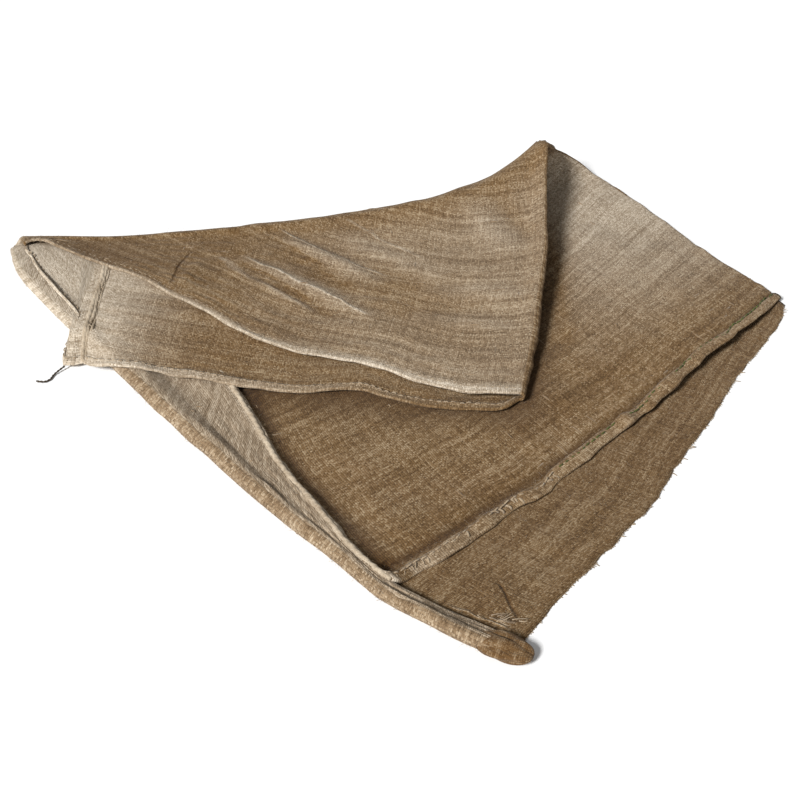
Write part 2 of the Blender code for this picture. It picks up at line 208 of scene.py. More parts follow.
# The bend: the line its centre stands over, its radius to the outer sheet, and how far inside the inner is.
#             x       y      radius  inset
BEND = [
    (-0.530, 0.3060, 0.0120, 0.0090),
    (-0.458, 0.3100, 0.0110, 0.0065),
    (-0.365, 0.3100, 0.0112, 0.0060),
    (-0.227, 0.3220, 0.0140, 0.0060),
    (-0.094, 0.3390, 0.0172, 0.0060),
    (-0.019, 0.3500, 0.0207, 0.0060),
    (0.044, 0.3590, 0.0245, 0.0060),
    (0.090, 0.3780, 0.0271, 0.0060),
    (0.128, 0.3930, 0.0303, 0.0060),
    (0.158, 0.4110, 0.0336, 0.0060),
    (0.182, 0.4305, 0.0367, 0.0060),
    (0.200, 0.4375, 0.0455, 0.0060),
    (0.214, 0.4410, 0.0412, 0.0060),
    (0.236, 0.4535, 0.0430, 0.0060),
    (0.264, 0.4710, 0.0485, 0.0060),
    (0.300, 0.4790, 0.0375, 0.0060),
]
# Where three lines of the cloth cross the bend, as x on its centre line: going in below, coming out on top.
#             below   above
BEND_TIP = (-0.518, -0.500)
BEND_SEAM = (-0.362, -0.385)
BEND_RIGHT = (0.296, 0.200)

# Height of the front sheet between the roll (0) and the side seam (1), over the straight line between them.
#              across  height
STRIP_PROFILE = [
    (0.00, 0.0000),
    (0.10, 0.0010),
    (0.20, -0.0030),
    (0.32, -0.0065),
    (0.50, -0.0058),
    (0.80, -0.0020),
    (0.93, 0.0000),
    (1.00, 0.0000),
]
# The same between the side seam (0) and the right fold (1).
FRONT_PROFILE = [
    (0.00, 0.0000),
    (0.012, -0.0060),
    (0.028, -0.0086),
    (0.060, -0.0068),
    (0.140, -0.0030),
    (0.50, -0.0010),
    (1.00, 0.0000),
]

# Soft ridges and troughs on the flap's upper sheet: from, to, half width, height.
#                   x0      y0      x1      y1     width   height
FLAP_FOLDS = [
    (-0.160, 0.308, -0.020, 0.193, 0.010, 0.0070),
    (-0.170, 0.274, -0.050, 0.173, 0.010, -0.0045),
    (-0.210, 0.258, -0.030, 0.123, 0.009, 0.0065),
    (-0.200, 0.221, -0.080, 0.126, 0.007, -0.0045),
    (-0.192, 0.206, -0.102, 0.135, 0.005, 0.0032),
    (-0.460, 0.304, -0.200, 0.173, 0.020, -0.0060),
    (-0.270, 0.252, -0.289, 0.186, 0.005, -0.0042),
    (-0.258, 0.254, -0.277, 0.184, 0.008, 0.0035),
    (-0.060, 0.238, 0.120, 0.078, 0.050, -0.0040),
    (-0.100, 0.318, 0.060, 0.198, 0.016, 0.0035),
    (0.010, 0.128, 0.140, 0.093, 0.016, 0.0040),
    (0.020, 0.178, 0.160, 0.158, 0.014, 0.0030),
    (0.080, 0.378, 0.150, 0.238, 0.020, 0.0040),
    (0.120, 0.398, 0.180, 0.258, 0.012, -0.0030),
]
# The same on the front sheet under it.
BASE_FOLDS = [
    (0.060, -0.140, 0.300, 0.120, 0.030, 0.003),
    (0.160, -0.020, 0.330, 0.330, 0.035, 0.003),
    (-0.060, -0.130, 0.120, -0.010, 0.028, 0.002),
    (-0.120, -0.170, 0.020, -0.290, 0.014, 0.003),
]

# The same on the back sheet where it shows past the front sheet's end.
BACK_FOLDS = [
    (0.088, -0.282, 0.106, -0.343, 0.0050, 0.0045),
    (0.108, -0.288, 0.124, -0.340, 0.0050, 0.0035),
    (0.120, -0.270, 0.150, -0.300, 0.0080, 0.0020),
]

TAIL_DIAMETER = 0.0025
TAIL_ROUTE = [  # the loose end of the seam's yarn: x, y, height above the surface
    (-0.4043, 0.0578, 0.0050),
    (-0.4110, 0.0510, 0.0030),
    (-0.4160, 0.0445, 0.0014),
    (-0.4183, 0.0370, 0.0014),
    (-0.4235, 0.0325, 0.0014),
    (-0.4295, 0.0325, 0.0014),
    (-0.4347, 0.0336, 0.0014),
]
TAIL_POINTS, TAIL_STEP = 24, 0.0005
TAIL_PITCH = 0.009  # one turn of its two plies
PLY_FULLNESS = 1.08  # the plies press into each other a little

# ---------------------------------------------------------------- curves and grids


def bell(distance, width):
    """1 where the distance is zero, and softly down to nothing past the width."""
    return np.exp(-((distance / width) ** 2))


def climb(value, start, reach):
    """0 up to the start, and then evenly up to 1 over the reach."""
    return np.clip((value - start) / reach, 0, 1)


def between(first, second, third, fourth, s, t):
    """Between four corners: t from the first to the second, and s down to the third and the fourth."""
    return (1 - s) * ((1 - t) * first + t * second) + s * ((1 - t) * third + t * fourth)


def walked(grid):
    """How far down its column each point of a grid lies from the first row."""
    steps = np.linalg.norm(np.diff(grid, axis=0), axis=2)
    return np.vstack([np.zeros(grid.shape[1]), np.cumsum(steps, axis=0)])


def read_down(field, reached, j, wanted):
    """Column j of a grid of values, read where it has reached this far down."""
    return np.array([np.interp(wanted, reached[:, j], field[:, j, k]) for k in range(3)])


def shares(cells, crowded_start=0.0, crowded_end=0.0):
    """cells + 1 values from 0 to 1, closer together at an end that is crowded (0 to 0.9)."""
    t = np.linspace(0, 1, cells + 1)
    density = 1 - crowded_start * (1 - t) ** 3 - crowded_end * t**3
    steps = (density[1:] + density[:-1]) / 2
    return np.concatenate([[0], np.cumsum(steps) / steps.sum()])


def smooth_line(rows, samples=33):
    """A dense smooth curve through the rows, and how far along it each point lies in plan."""
    points = np.array(rows, float)
    padded = np.vstack([2 * points[0] - points[1], points, 2 * points[-1] - points[-2]])
    dense = [points[:1]]
    for before, start, end, after in zip(padded, padded[1:], padded[2:], padded[3:]):
        t = np.linspace(0, 1, samples)[1:, None]
        square = 2 * before - 5 * start + 4 * end - after
        cube = 3 * start - before - 3 * end + after
        dense.append(0.5 * (2 * start + (end - before) * t + square * t**2 + cube * t**3))
    dense = np.vstack(dense)
    steps = np.linalg.norm(np.diff(dense[:, :2], axis=0), axis=1)
    return dense, np.concatenate([[0], np.cumsum(steps)])


def along(rows, share):
    """Points on the smooth curve through the rows, at these shares of its length."""
    dense, reached = smooth_line(rows)
    wanted = np.asarray(share) * reached[-1]
    return np.stack([np.interp(wanted, reached, column) for column in dense.T], axis=1)


def lapped(share, lap):
    """The shares of a line whose first cells cover the lap."""
    before = np.linspace(0, lap, LAP_CELLS + 1)[:-1]
    return np.concatenate([before, lap + (1 - lap) * share])


def patch(first, last, left, right, down, over):
    """A grid of points between four edges: rows go from first to last, columns from left to right."""
    s = down[:, None, None]
    t = over[None, :, None]
    lengthwise = (1 - s) * first[None] + s * last[None]
    across = (1 - t) * left[:, None] + t * right[:, None]
    return lengthwise + across - between(first[0], first[-1], last[0], last[-1], s, t)


def taut(heights, rounds=600):
    """The heights of a grid with its rim held, and the rest drawn smooth between it like a taut skin."""
    for _ in range(rounds):
        around = heights[:-2, 1:-1] + heights[2:, 1:-1] + heights[1:-1, :-2] + heights[1:-1, 2:]
        heights[1:-1, 1:-1] = around / 4
    return heights


def fold_height(points, rows):
    """The summed height of soft ridges and troughs at each point, which fade out at both ends."""
    total = np.zeros(points.shape[:-1])
    for x0, y0, x1, y1, width, height in rows:
        start, way = np.array([x0, y0]), np.array([x1 - x0, y1 - y0])
        position = ((points[..., :2] - start) @ way) / (way @ way)
        nearest = start + np.clip(position, 0, 1)[..., None] * way
        distance = np.linalg.norm(points[..., :2] - nearest, axis=-1)
        fade = np.sin(np.pi * np.clip(position, 0, 1)) ** 0.7
        total += height * fade * bell(distance, width)
    return total


def profile(rows, share):
    """The heights of a cross profile, on a smooth curve through its rows."""
    dense, _ = smooth_line(rows)
    return np.interp(share, dense[:, 0], dense[:, 1])


def column(rows, which):
    """A table with two heights, with only one of them kept."""
    return [(row[0], row[1], row[which]) for row in rows]


def bend_row(start, end, share, inner, angle):
    """One row of the bend, at an angle from straight down, from one crossing line to the next."""
    table, _ = smooth_line(BEND)
    f = angle / math.pi
    below = start[0] + (end[0] - start[0]) * share
    above = start[1] + (end[1] - start[1]) * share
    x = (1 - f) * below + f * above
    y, radius, inset = (np.interp(x, table[:, 0], table[:, k]) for k in (1, 2, 3))
    slope = np.interp(x, table[:, 0], np.gradient(table[:, 1], table[:, 0]))
    outward = np.stack([-slope, np.ones_like(slope)], axis=1)
    outward /= np.linalg.norm(outward, axis=1)[:, None]
    reach = radius - inset * inner
    plan = np.stack([x, y], axis=1) + outward * (reach * math.sin(angle))[:, None]
    height = MID_HEIGHT + radius - reach * math.cos(angle)
    return np.column_stack([plan, height])


def bend_rows(angle):
    """The rows of the strip, the front sheet and the back sheet at this angle round the bend."""
    return (bend_row(BEND_TIP, BEND_SEAM, STRIP_SHARES, 1, angle),
            bend_row(BEND_SEAM, BEND_RIGHT, FRONT_SHARES, 1, angle),
            bend_row(BEND_TIP, BEND_RIGHT, BACK_SHARES, 0, angle))


random_numbers = np.random.default_rng(11)

STRIP_SHARES = shares(STRIP_CELLS)
FRONT_SHARES = shares(FRONT_CELLS)
BACK_SHARES = shares(BACK_CELLS)
BASE_SHARES = shares(BASE_CELLS - LAP_CELLS, crowded_start=0.6)
FLAP_SHARES = shares(FLAP_CELLS, crowded_end=0.6)

# The front sheet's bottom end: the groove that the stitches pull down behind the hem, and how far the end
# droops onto the back sheet. It droops less over the shares of its width between DROOP_FROM and DROOP_TO.
GROOVE_DEPTH, GROOVE_FROM_EDGE, GROOVE_WIDTH = 0.0034, 0.0175, 0.006
DROOP_DEPTH, DROOP_WIDTH = 0.0026, 0.007
DROOP_FROM, DROOP_TO = 0.52, 0.72

# Random waves: how many steps long, and how high or how far, or what share of a radius.
ROLL_LUMPS = (4, 0.0011)
FREE_EDGE_WAVES = ((6, 0.0014), (1.5, 0.0010))
FRONT_HEM_WAVES = (3, 0.0013)
RAGGED_HEM_WAVES = (1.5, 0.0008)
ROPE_SWELLS, ROPE_WAVES = (9, 0.10), (14, 0.0005)
DRAWN_THREAD_SWELLS = (5, 0.25)
HEM_LUMP_STEPS = 2.5

FREE_EDGE_PULL = (1.0, 0.6, 0.25)  # how far the back sheet's first rows follow the waves of its end
FRONT_HEM_ROWS = 6  # rows of the front sheet that follow the waves of its hem

RUMPLE_SIZE = 0.0007
RUMPLE_LIMIT, FINE_LIMIT = 1.6, 2.0  # the highest broad and fine rumples, in standard deviations
FINE_SHARE = 0.12  # how high the fine rumples are, as a share of the broad ones
SMOOTH_TIP, TIP_FADE = 0.14, 0.08  # no rumples this near the flap's tip, and all of them past the fade


def hem_groove(front):
    """The dip of each row of the front sheet, which the hem's stitches pull down behind the hem."""
    from_edge = np.linalg.norm(front[:, :, :2] - front[:1, :, :2], axis=2).mean(axis=1)
    return -GROOVE_DEPTH * bell(from_edge - GROOVE_FROM_EDGE, GROOVE_WIDTH)


def hem_droop(front):
    """How far the front sheet's end droops onto the back sheet; at the right it stands off."""
    from_edge = np.linalg.norm(front[:, :, :2] - front[:1, :, :2], axis=2)
    droops = 1 - climb(np.linspace(0, 1, front.shape[1]), DROOP_FROM, DROOP_TO - DROOP_FROM)
    return -DROOP_DEPTH * bell(from_edge, DROOP_WIDTH) * droops


def wander(count, step, size):
    """A random wavy run of values with waves about this many steps long."""
    knots = random_numbers.normal(size=int(count / step) + 4)
    places = np.linspace(0, len(knots) - 1, count)
    return np.interp(places, np.arange(len(knots)), knots) * size


def base_sheets():
    """The front and back sheets that lie on the surface, as grids of rows from the bottom end to the bend."""
    tip_top, front_top, back_top = bend_rows(0)
    roll = along(ROLL_LINE, lapped(BASE_SHARES, ROLL_LAP))
    roll[1:-6, 2] += wander(len(roll) - 7, *ROLL_LUMPS)
    strip_edge = along(STRIP_EDGE, np.linspace(0, 1, LAP_CELLS + 1))
    seam = np.concatenate([strip_edge[:-1], along(SEAM_LINE, BASE_SHARES)])
    right = along(RIGHT_FOLD, lapped(BASE_SHARES, FOLD_LAP))
    for edge, corner in ((roll, tip_top[0]), (seam, front_top[0]), (right, front_top[-1])):
        edge += (corner - edge[-1]) * np.linspace(0, 1, len(edge))[:, None] ** 3
    t = STRIP_SHARES[None, :, None]
    strip = (1 - t) * roll[:, None] + t * seam[:, None]
    share = np.linspace(0, 1, BASE_CELLS + 1)
    strip += share[:, None, None] ** 8 * (tip_top - strip[-1])
    fade = np.cos(share * np.pi / 2) ** 0.4
    relief = fade * np.clip(np.linalg.norm(seam[:, :2] - roll[:, :2], axis=1) / FULL_STRIP, 0, 1)
    strip[:, :, 2] += relief[:, None] * profile(STRIP_PROFILE, STRIP_SHARES)
    strip[:, :, 2] += fold_height(strip, BASE_FOLDS)
    front_first = along(BAND_EDGE, FRONT_SHARES)
    front = patch(front_first, front_top, seam[LAP_CELLS:], right[LAP_CELLS:], BASE_SHARES, FRONT_SHARES)
    front[:, :, 2] += fade[LAP_CELLS:, None] * profile(FRONT_PROFILE, FRONT_SHARES)
    front[:, :, 2] += fold_height(front, BASE_FOLDS)
    front[:, :, 2] += hem_groove(front)[:, None] + hem_droop(front)
    front = np.concatenate([np.repeat(front[:1], LAP_CELLS, axis=0), front])
    back_down = lapped(BASE_SHARES, ROLL_LAP)
    free_edge = along([(*point, MID_HEIGHT) for point in FREE_EDGE], BACK_SHARES)
    back = patch(free_edge, back_top, roll, right, back_down, BACK_SHARES)
    back[:, :, 2] = MID_HEIGHT + fold_height(back, BACK_FOLDS)
    return np.concatenate([strip, front[:, 1:]], axis=1), back


def flap_sheets():
    """The two sheets of the turned-over flap, as grids of rows from the bend to the mouth."""
    tip_top, front_top, back_top = bend_rows(math.pi)
    edges = [
        (along(column(FLAP_TIP, 3), FLAP_SHARES), tip_top[0]),
        (along(column(FLAP_TIP, 2), FLAP_SHARES), back_top[0]),
        (along(FLAP_SEAM, FLAP_SHARES), front_top[0]),
        (along(column(FLAP_EDGE, 3), FLAP_SHARES), front_top[-1]),
        (along(column(FLAP_EDGE, 2), FLAP_SHARES), back_top[-1]),
    ]
    for edge, corner in edges:
        edge += (corner - edge[0]) * np.linspace(1, 0, len(edge))[:, None] ** 3
    tip_below, tip_above, seam, right_below, right_above = (edge for edge, _ in edges)
    strip = patch(tip_top, along(LEFT_MOUTH, STRIP_SHARES), tip_below, seam, FLAP_SHARES, STRIP_SHARES)
    strip[:, :, 2] = taut(strip[:, :, 2])
    front = patch(front_top, along(LOWER_MOUTH, FRONT_SHARES), seam, right_below, FLAP_SHARES, FRONT_SHARES)
    back = patch(back_top, along(UPPER_MOUTH, BACK_SHARES), tip_above, right_above, FLAP_SHARES, BACK_SHARES)
    back[:, :, 2] += fold_height(back, FLAP_FOLDS)
    return np.concatenate([strip[:, :-1], front], axis=1), back


def cell_corners(field):
    """The values of a grid at the four corners of each of its cells."""
    return [field[:-1, :-1], field[:-1, 1:], field[1:, 1:], field[1:, :-1]]


def grid_faces(rows, columns):
    """The four corners of each cell of a grid of points, numbered row by row."""
    return np.stack(cell_corners(np.arange(rows * columns).reshape(rows, columns)), axis=-1).reshape(-1, 4)


def side_bend(start, end, outward, cells):
    """The points strictly between two grid columns, round a half turn that bulges outward."""
    middle, half = (start + end) / 2, (start - end) / 2
    bulge = outward * np.linalg.norm(half, axis=1)[:, None]
    angles = math.pi * np.arange(1, cells) / cells
    turned = [middle + half * math.cos(angle) + bulge * math.sin(angle) for angle in angles]
    return np.stack(turned, axis=1)


def outward_of(edge, side):
    """The level direction out of the tube along its edge: side is 1 for the right edge, -1 for the left.

    It is square to the edge on the base and on the flap, and turns from one to the other round the bend.
    """
    way = np.gradient(edge[:, :2], axis=0)
    across = np.stack([way[:, 1], -way[:, 0], np.zeros(len(way))], axis=1) * side
    across /= np.linalg.norm(across, axis=1)[:, None]
    first, last = BASE_CELLS - 1, BASE_CELLS + BEND_CELLS + 1
    if len(edge) > last:
        across[last:] *= -1
        turned = np.linspace(0, 1, last - first + 1)[:, None]
        across[first : last + 1] = (1 - turned) * across[first] + turned * across[last]
        across /= np.linalg.norm(across, axis=1)[:, None]
    return across


def eased(values):
    """Each value of a grid averaged with its four neighbours."""
    padded = np.pad(values, 1, mode="edge")
    around = padded[:-2, 1:-1] + padded[2:, 1:-1] + padded[1:-1, :-2] + padded[1:-1, 2:]
    return (values + around) / 5


def settled(sheet, under, rounds=30):
    """The sheet, raised softly wherever it would come nearer than CLEARANCE to the grid under it."""
    surface = BVHTree.FromPolygons(under.reshape(-1, 3).tolist(), grid_faces(*under.shape[:2]).tolist())
    needed = np.zeros(sheet.shape[:2])
    for i, j in np.ndindex(needed.shape):
        place = surface.ray_cast(Vector((*sheet[i, j, :2], 1.0)), Vector((0, 0, -1)))[0]
        if place is not None:
            needed[i, j] = max(0.0, place.z + CLEARANCE - sheet[i, j, 2])
    needed[0] = 0
    raised = needed
    for _ in range(rounds):
        raised = np.maximum(needed, eased(raised))
        raised[0] = 0
    sheet[:, :, 2] += raised
    return sheet


def ring(front, back):
    """The front sheet and, from right to left, the back sheet, joined round the fold and the roll."""
    right = side_bend(front[:, -1], back[:, 0], outward_of(back[:, 0], 1), EDGE_CELLS)
    roll = side_bend(back[:, -1], front[:, 0], outward_of(back[:, -1], -1), ROLL_CELLS)
    return np.concatenate([front, right, back, roll], axis=1)


def tube():
    """The whole sack as a grid: rows from the bottom end to the mouth, columns round the tube."""
    base_front, base_back = base_sheets()
    flap_front, flap_back = flap_sheets()
    flap_front = settled(flap_front, ring(base_front, base_back[:, ::-1]))
    flap_back = settled(flap_back, flap_front)
    fronts, backs = [base_front], [base_back]
    for k in range(1, BEND_CELLS):
        strip, front, back = bend_rows(math.pi * k / BEND_CELLS)
        fronts.append(np.concatenate([strip[:-1], front])[None])
        backs.append(back[None])
    front = np.concatenate(fronts + [flap_front])
    return ring(front, np.concatenate(backs + [flap_back])[:, ::-1]) - (*FOOTPRINT_MIDDLE, 0)


# ---------------------------------------------------------------- the cloth as a mesh

FIRST_FRONT = STRIP_CELLS  # the side seam's column
LAST_FRONT = STRIP_CELLS + FRONT_CELLS  # the front sheet's last column, at the right fold
FIRST_BACK = LAST_FRONT + EDGE_CELLS  # the back sheet's first column, at the right fold
LAST_BACK = FIRST_BACK + BACK_CELLS  # the back sheet's last column, at the roll
BEND_ROW = BASE_CELLS + BEND_CELLS  # the flap's first row

MOUTH_HEM_WIDTH, MOUTH_HEM_RADIUS, MOUTH_HEM_ROUGHNESS = 0.010, 0.0013, 0.22
BOTTOM_HEM_WIDTH, BOTTOM_HEM_RADIUS, BOTTOM_HEM_ROUGHNESS = 0.012, 0.0018, 0.42
HEM_ANGLES = (40, 80, 120, 160, 180)  # where a hem has rows as it turns over, in degrees
HEM_STEPS = (0.25, 0.5, 0.8, 1.0)  # and where it has them as it lies back, as shares of its width
HEM_REACH = 16  # rows of the sheet that a hem may lie on


def unit(vectors):
    """The same vectors with length 1."""
    return vectors / np.maximum(np.linalg.norm(vectors, axis=-1), 1e-9)[..., None]


def outward_directions(grid):
    """The direction out of the tube at each grid point."""
    down = np.gradient(grid, axis=0)
    wrapped = np.concatenate([grid[:, -1:], grid, grid[:, :1]], axis=1)
    across = np.gradient(wrapped, axis=1)[:, 1:-1]
    return unit(np.cross(across, down))


def rumpled(grid):
    """The cloth with soft random rises and hollows, a few threads wide, all over."""
    rows, columns, _ = grid.shape
    out = outward_directions(grid)
    coarse = random_numbers.normal(size=(rows // 3 + 3, columns // 3))
    fine = random_numbers.normal(size=(rows, columns))
    down = np.linspace(0, len(coarse) - 1.001, rows)
    over = np.linspace(0, coarse.shape[1] - 0.001, columns, endpoint=False)
    a, b = np.floor(down).astype(int), np.floor(over).astype(int)
    s, t = (down - a)[:, None], (over - b)[None]
    s, t = s * s * (3 - 2 * s), t * t * (3 - 2 * t)
    following = (b + 1) % coarse.shape[1]
    upper, lower = coarse[a], coarse[a + 1]
    broad = between(upper[:, b], upper[:, following], lower[:, b], lower[:, following], s, t)
    height = np.clip(broad, -RUMPLE_LIMIT, RUMPLE_LIMIT) * RUMPLE_SIZE
    height += np.clip(fine, -FINE_LIMIT, FINE_LIMIT) * RUMPLE_SIZE * FINE_SHARE
    from_tip = np.linalg.norm(grid[..., :2] - grid[BEND_ROW, 0, :2], axis=2)
    height *= climb(from_tip, SMOOTH_TIP, TIP_FADE)
    return grid + out * height[..., None]


def wavy_ends(grid):
    """The cloth with its bottom ends made wavy: the back sheet's, cut by hand, and the front sheet's hem."""
    columns = slice(FIRST_BACK, LAST_BACK + 1)
    way = unit(grid[0, columns] - grid[3, columns])
    shift = sum(wander(BACK_CELLS + 1, *wave) for wave in FREE_EDGE_WAVES)
    for row, share in enumerate(FREE_EDGE_PULL):
        grid[row, columns] += way * (shift * share)[:, None]
    front = slice(FIRST_FRONT + 2, LAST_FRONT - 1)
    way = unit(grid[LAP_CELLS, front] - grid[LAP_CELLS + 3, front])
    shift = wander(way.shape[0], *FRONT_HEM_WAVES)
    for row in range(FRONT_HEM_ROWS):
        grid[LAP_CELLS + row, front] += way * shift[:, None] * (1 - row / FRONT_HEM_ROWS)
    return grid


def turned_hem(sheet, side, width, radius, rough):
    """Rows that turn round the edge sheet[0] and lie back along the sheet, on the side that is given."""
    way = unit(sheet[0] - sheet[1])
    count = sheet.shape[1]
    lump = 1 + wander(count, HEM_LUMP_STEPS, rough)[:, None]
    rows = []
    for angle in np.radians(HEM_ANGLES):
        rows.append(sheet[0] + radius * lump * (way * math.sin(angle) + side[0] * (1 - math.cos(angle))))
    reached = walked(sheet)
    ragged = wander(count, *RAGGED_HEM_WAVES)
    for share in HEM_STEPS:
        row = []
        for j in range(count):
            wanted = share * width + share**3 * ragged[j]
            lift = read_down(side, reached, j, wanted) * 2 * radius * lump[j, 0]
            row.append(read_down(sheet, reached, j, wanted) + lift)
        rows.append(np.array(row))
    return np.array(rows)


def tube_cells(rows, columns):
    """The four grid corners of each cell that holds cloth, round the whole tube."""
    corner = np.arange(rows * columns).reshape(rows, columns)
    cells = np.stack(cell_corners(np.column_stack([corner, corner[:, 0]])), axis=-1)
    held = np.ones(cells.shape[:2], bool)
    held[:LAP_CELLS, FIRST_FRONT:FIRST_BACK] = False
    return cells, held


def reach_down(grid, first_row):
    """How far along its column each grid point lies from the first row, as a share of the column's length."""
    steps = np.linalg.norm(np.diff(grid, axis=0), axis=2)
    steps[:first_row] = 0
    reached = np.vstack([np.zeros(grid.shape[1]), np.cumsum(steps, axis=0)])
    return reached / reached[-1]


def spacing_across(grid):
    """The distance square to the threads from each column to the next one, round the tube."""
    way = unit(np.gradient(grid, axis=0))
    step = np.roll(grid, -1, axis=1) - grid
    slip = (step * way).sum(axis=2)[..., None] * way
    return np.linalg.norm(step - slip, axis=2)


def thread_places(grid):
    """For each cell's corners, the place in the flat cloth, in metres: across and along the tube."""
    rows, columns, _ = grid.shape
    spacing = spacing_across(grid)
    across = np.concatenate([[0], np.cumsum(spacing[LAP_CELLS:].mean(axis=0))])
    seam = FIRST_FRONT
    across -= across[seam]
    front_down, back_down = reach_down(grid, LAP_CELLS), reach_down(grid, 0)
    u = np.zeros((rows - 1, columns, 4))
    v = np.zeros((rows - 1, columns, 4))
    strip = np.concatenate([np.zeros((rows, 1)), np.cumsum(spacing[:, :seam][:, ::-1], axis=1)], axis=1)
    strip = -strip[:, ::-1]
    for place, (down, over) in enumerate(((0, 0), (0, 1), (1, 1), (1, 0))):
        u[:, :, place] = across[over : columns + over]
        u[:, :seam, place] = strip[down : rows - 1 + down, over : seam + over]
        shifted = np.roll(back_down, -over, axis=1)[down : rows - 1 + down]
        v[:, :, place] = shifted
        shifted = np.roll(front_down, -over, axis=1)[down : rows - 1 + down]
        v[:, seam:FIRST_BACK, place] = shifted[:, seam:FIRST_BACK]
    return np.stack([u, v * CUT_LENGTH], axis=-1), across


# the palest that rubbing and painted light make the cloth
MOST_WORN_OR_LIT = 0.9
RIDGE_HEIGHT = 0.0060  # the height of the flap's ridges that their painted light and shade is measured by


def wear_and_painted_shading(grid):
    """How pale the cloth is at each grid point, as rubbed cloth and as painted light; below zero where
    painted shade makes it darker.
    """
    rows, columns, _ = grid.shape
    i, j = np.mgrid[:rows, :columns]
    flap = np.clip((i - BEND_ROW) / 12.0, 0, 1)
    base = 1 - np.clip((i - BASE_CELLS - 10) / 6.0, 0, 1)
    strip = (j < FIRST_FRONT) * 1.0
    front = ((j >= FIRST_FRONT) & (j <= LAST_FRONT)) * 1.0
    back = ((j >= FIRST_BACK) & (j <= LAST_BACK)) * 1.0
    roll = climb(j, LAST_BACK - 4, 8.0)
    left_end = climb(i, BASE_CELLS - 26, 8.0) * (1 - climb(i, BEND_ROW - 8, 8.0))
    left_end = left_end * ((j > LAST_BACK - 3) | (j < 6))
    from_seam, from_left = (j - FIRST_FRONT) / FRONT_CELLS, (LAST_BACK - j) / BACK_CELLS
    seam_cells, end_cells, mouth_cells = j - FIRST_FRONT, i - LAP_CELLS, rows - 1 - i
    up_sack = end_cells / (BASE_CELLS - LAP_CELLS)
    far_right = np.clip(up_sack * 1.8 - 0.40, 0, 1) * np.clip(from_seam * 2.0 - 0.9, 0, 1)
    far_right = far_right * (1 - 0.2 * np.clip(from_seam * 4 - 3.2, 0, 1))
    foot, head = (np.array(point[:2]) - FOOTPRINT_MIDDLE for point in (FLAP_EDGE[-1], FLAP_EDGE[0]))
    way = (head - foot) / np.linalg.norm(head - foot)
    from_foot = grid[..., :2] - foot
    beside = np.clip(from_foot[..., 0] * way[1] - from_foot[..., 1] * way[0], 0, 1)
    up_edge = from_foot @ way / np.linalg.norm(head - foot)
    ridges = fold_height(grid + (*FOOTPRINT_MIDDLE, 0), FLAP_FOLDS) / RIDGE_HEIGHT
    # How much paler, and where: widths are in cells, or in shares of a sheet's width.
    zones = [
        (0.95, strip * flap),  # the flap's strip past the seam: rubbed, and painted light where it faces the lamp
        (0.85, front * flap * bell(from_seam, 0.15)),  # the flap's lower sheet beside the seam: painted light where it faces the lamp
        (0.70, front * bell(mouth_cells, 3.5) * bell(from_seam, 0.5)),  # painted highlight on the lower sheet's mouth hem
        (0.80, back * bell(mouth_cells, 3.5)),  # painted highlight on the upper sheet's mouth hem
        (0.45, strip * base),  # the strip between the roll and the side seam
        (0.20, roll * base),  # the roll
        (0.75, left_end),  # painted highlight on the far end of the roll, as far as the flap, where it faces the lamp
        (0.75, base * bell(seam_cells, 1.2)),  # the side seam's ridge: rubbed, and painted highlight on its lit side
        (-0.95, base * front * bell(seam_cells - 2.0, 1.0)),  # painted shade in the trough beside it
        (0.06, front * bell(end_cells, 2.2)),  # the bottom hem
        (0.35, front * bell(end_cells, 2.2) * bell(from_seam, 0.14)),  # and more of it near the seam
        (-0.95, front * base * bell(end_cells - 4.2, 1.3) * (end_cells > 2.5)),  # painted shade in the groove behind the hem
        (0.90, base * front * far_right),  # painted light on the far right of the front sheet, where it rises towards the bend
        (-0.05, base * front * bell(from_seam - 0.12, 0.12)),
        (-0.24, back * base),  # painted shade on the back sheet, where it shows past the front sheet's end
        (-1.00, base * front * bell(beside, 0.034) * np.clip((0.95 - up_edge) / 0.3, 0, 1)
         * climb(up_edge, -0.15, 0.15)),  # painted shadow of the flap's right edge
        (-0.35, back * flap * bell(from_left, 0.28)),  # painted shade on the left of the flap's upper sheet, which tilts away from the lamp
        (0.24, back * flap * np.clip(from_left * 2.2 - 0.8, 0, 1)),  # painted light on its right, which faces the lamp
        (0.30, back * flap * np.clip(ridges, -0.8, 0.8)),  # its ridges paler, as rubbed cloth and painted highlight, and its troughs darker, as painted shade
    ]
    return np.minimum(sum(paler * where for paler, where in zones), MOST_WORN_OR_LIT)


def hem_cells(edge, edge_across, edge_v, rows, first_point, flip):
    """The cells of hem rows that join the edge's points, and their corners' places in the flat cloth."""
    count, width = rows.shape[:2]
    index = np.arange(count * width).reshape(count, width) + first_point
    if len(edge) > width:
        index = np.concatenate([index, index[:, :1]], axis=1)
    index = np.vstack([edge, index])
    steps = np.linalg.norm(np.diff(rows, axis=0), axis=2).mean(axis=1)
    reached = np.concatenate([[0], [steps[0]], steps[0] + np.cumsum(steps)])
    v = edge_v + np.repeat(reached[:, None], index.shape[1], axis=1) * (-1 if flip else 1)
    place = np.stack([np.broadcast_to(edge_across, v.shape), v], axis=-1)
    cells, places = [], []
    for field, kept in ((index, cells), (place, places)):
        corners = cell_corners(field)
        kept.append(np.stack(corners[::-1] if flip else corners, axis=2))
    return cells[0].reshape(-1, 4), places[0].reshape(-1, 4, 2)


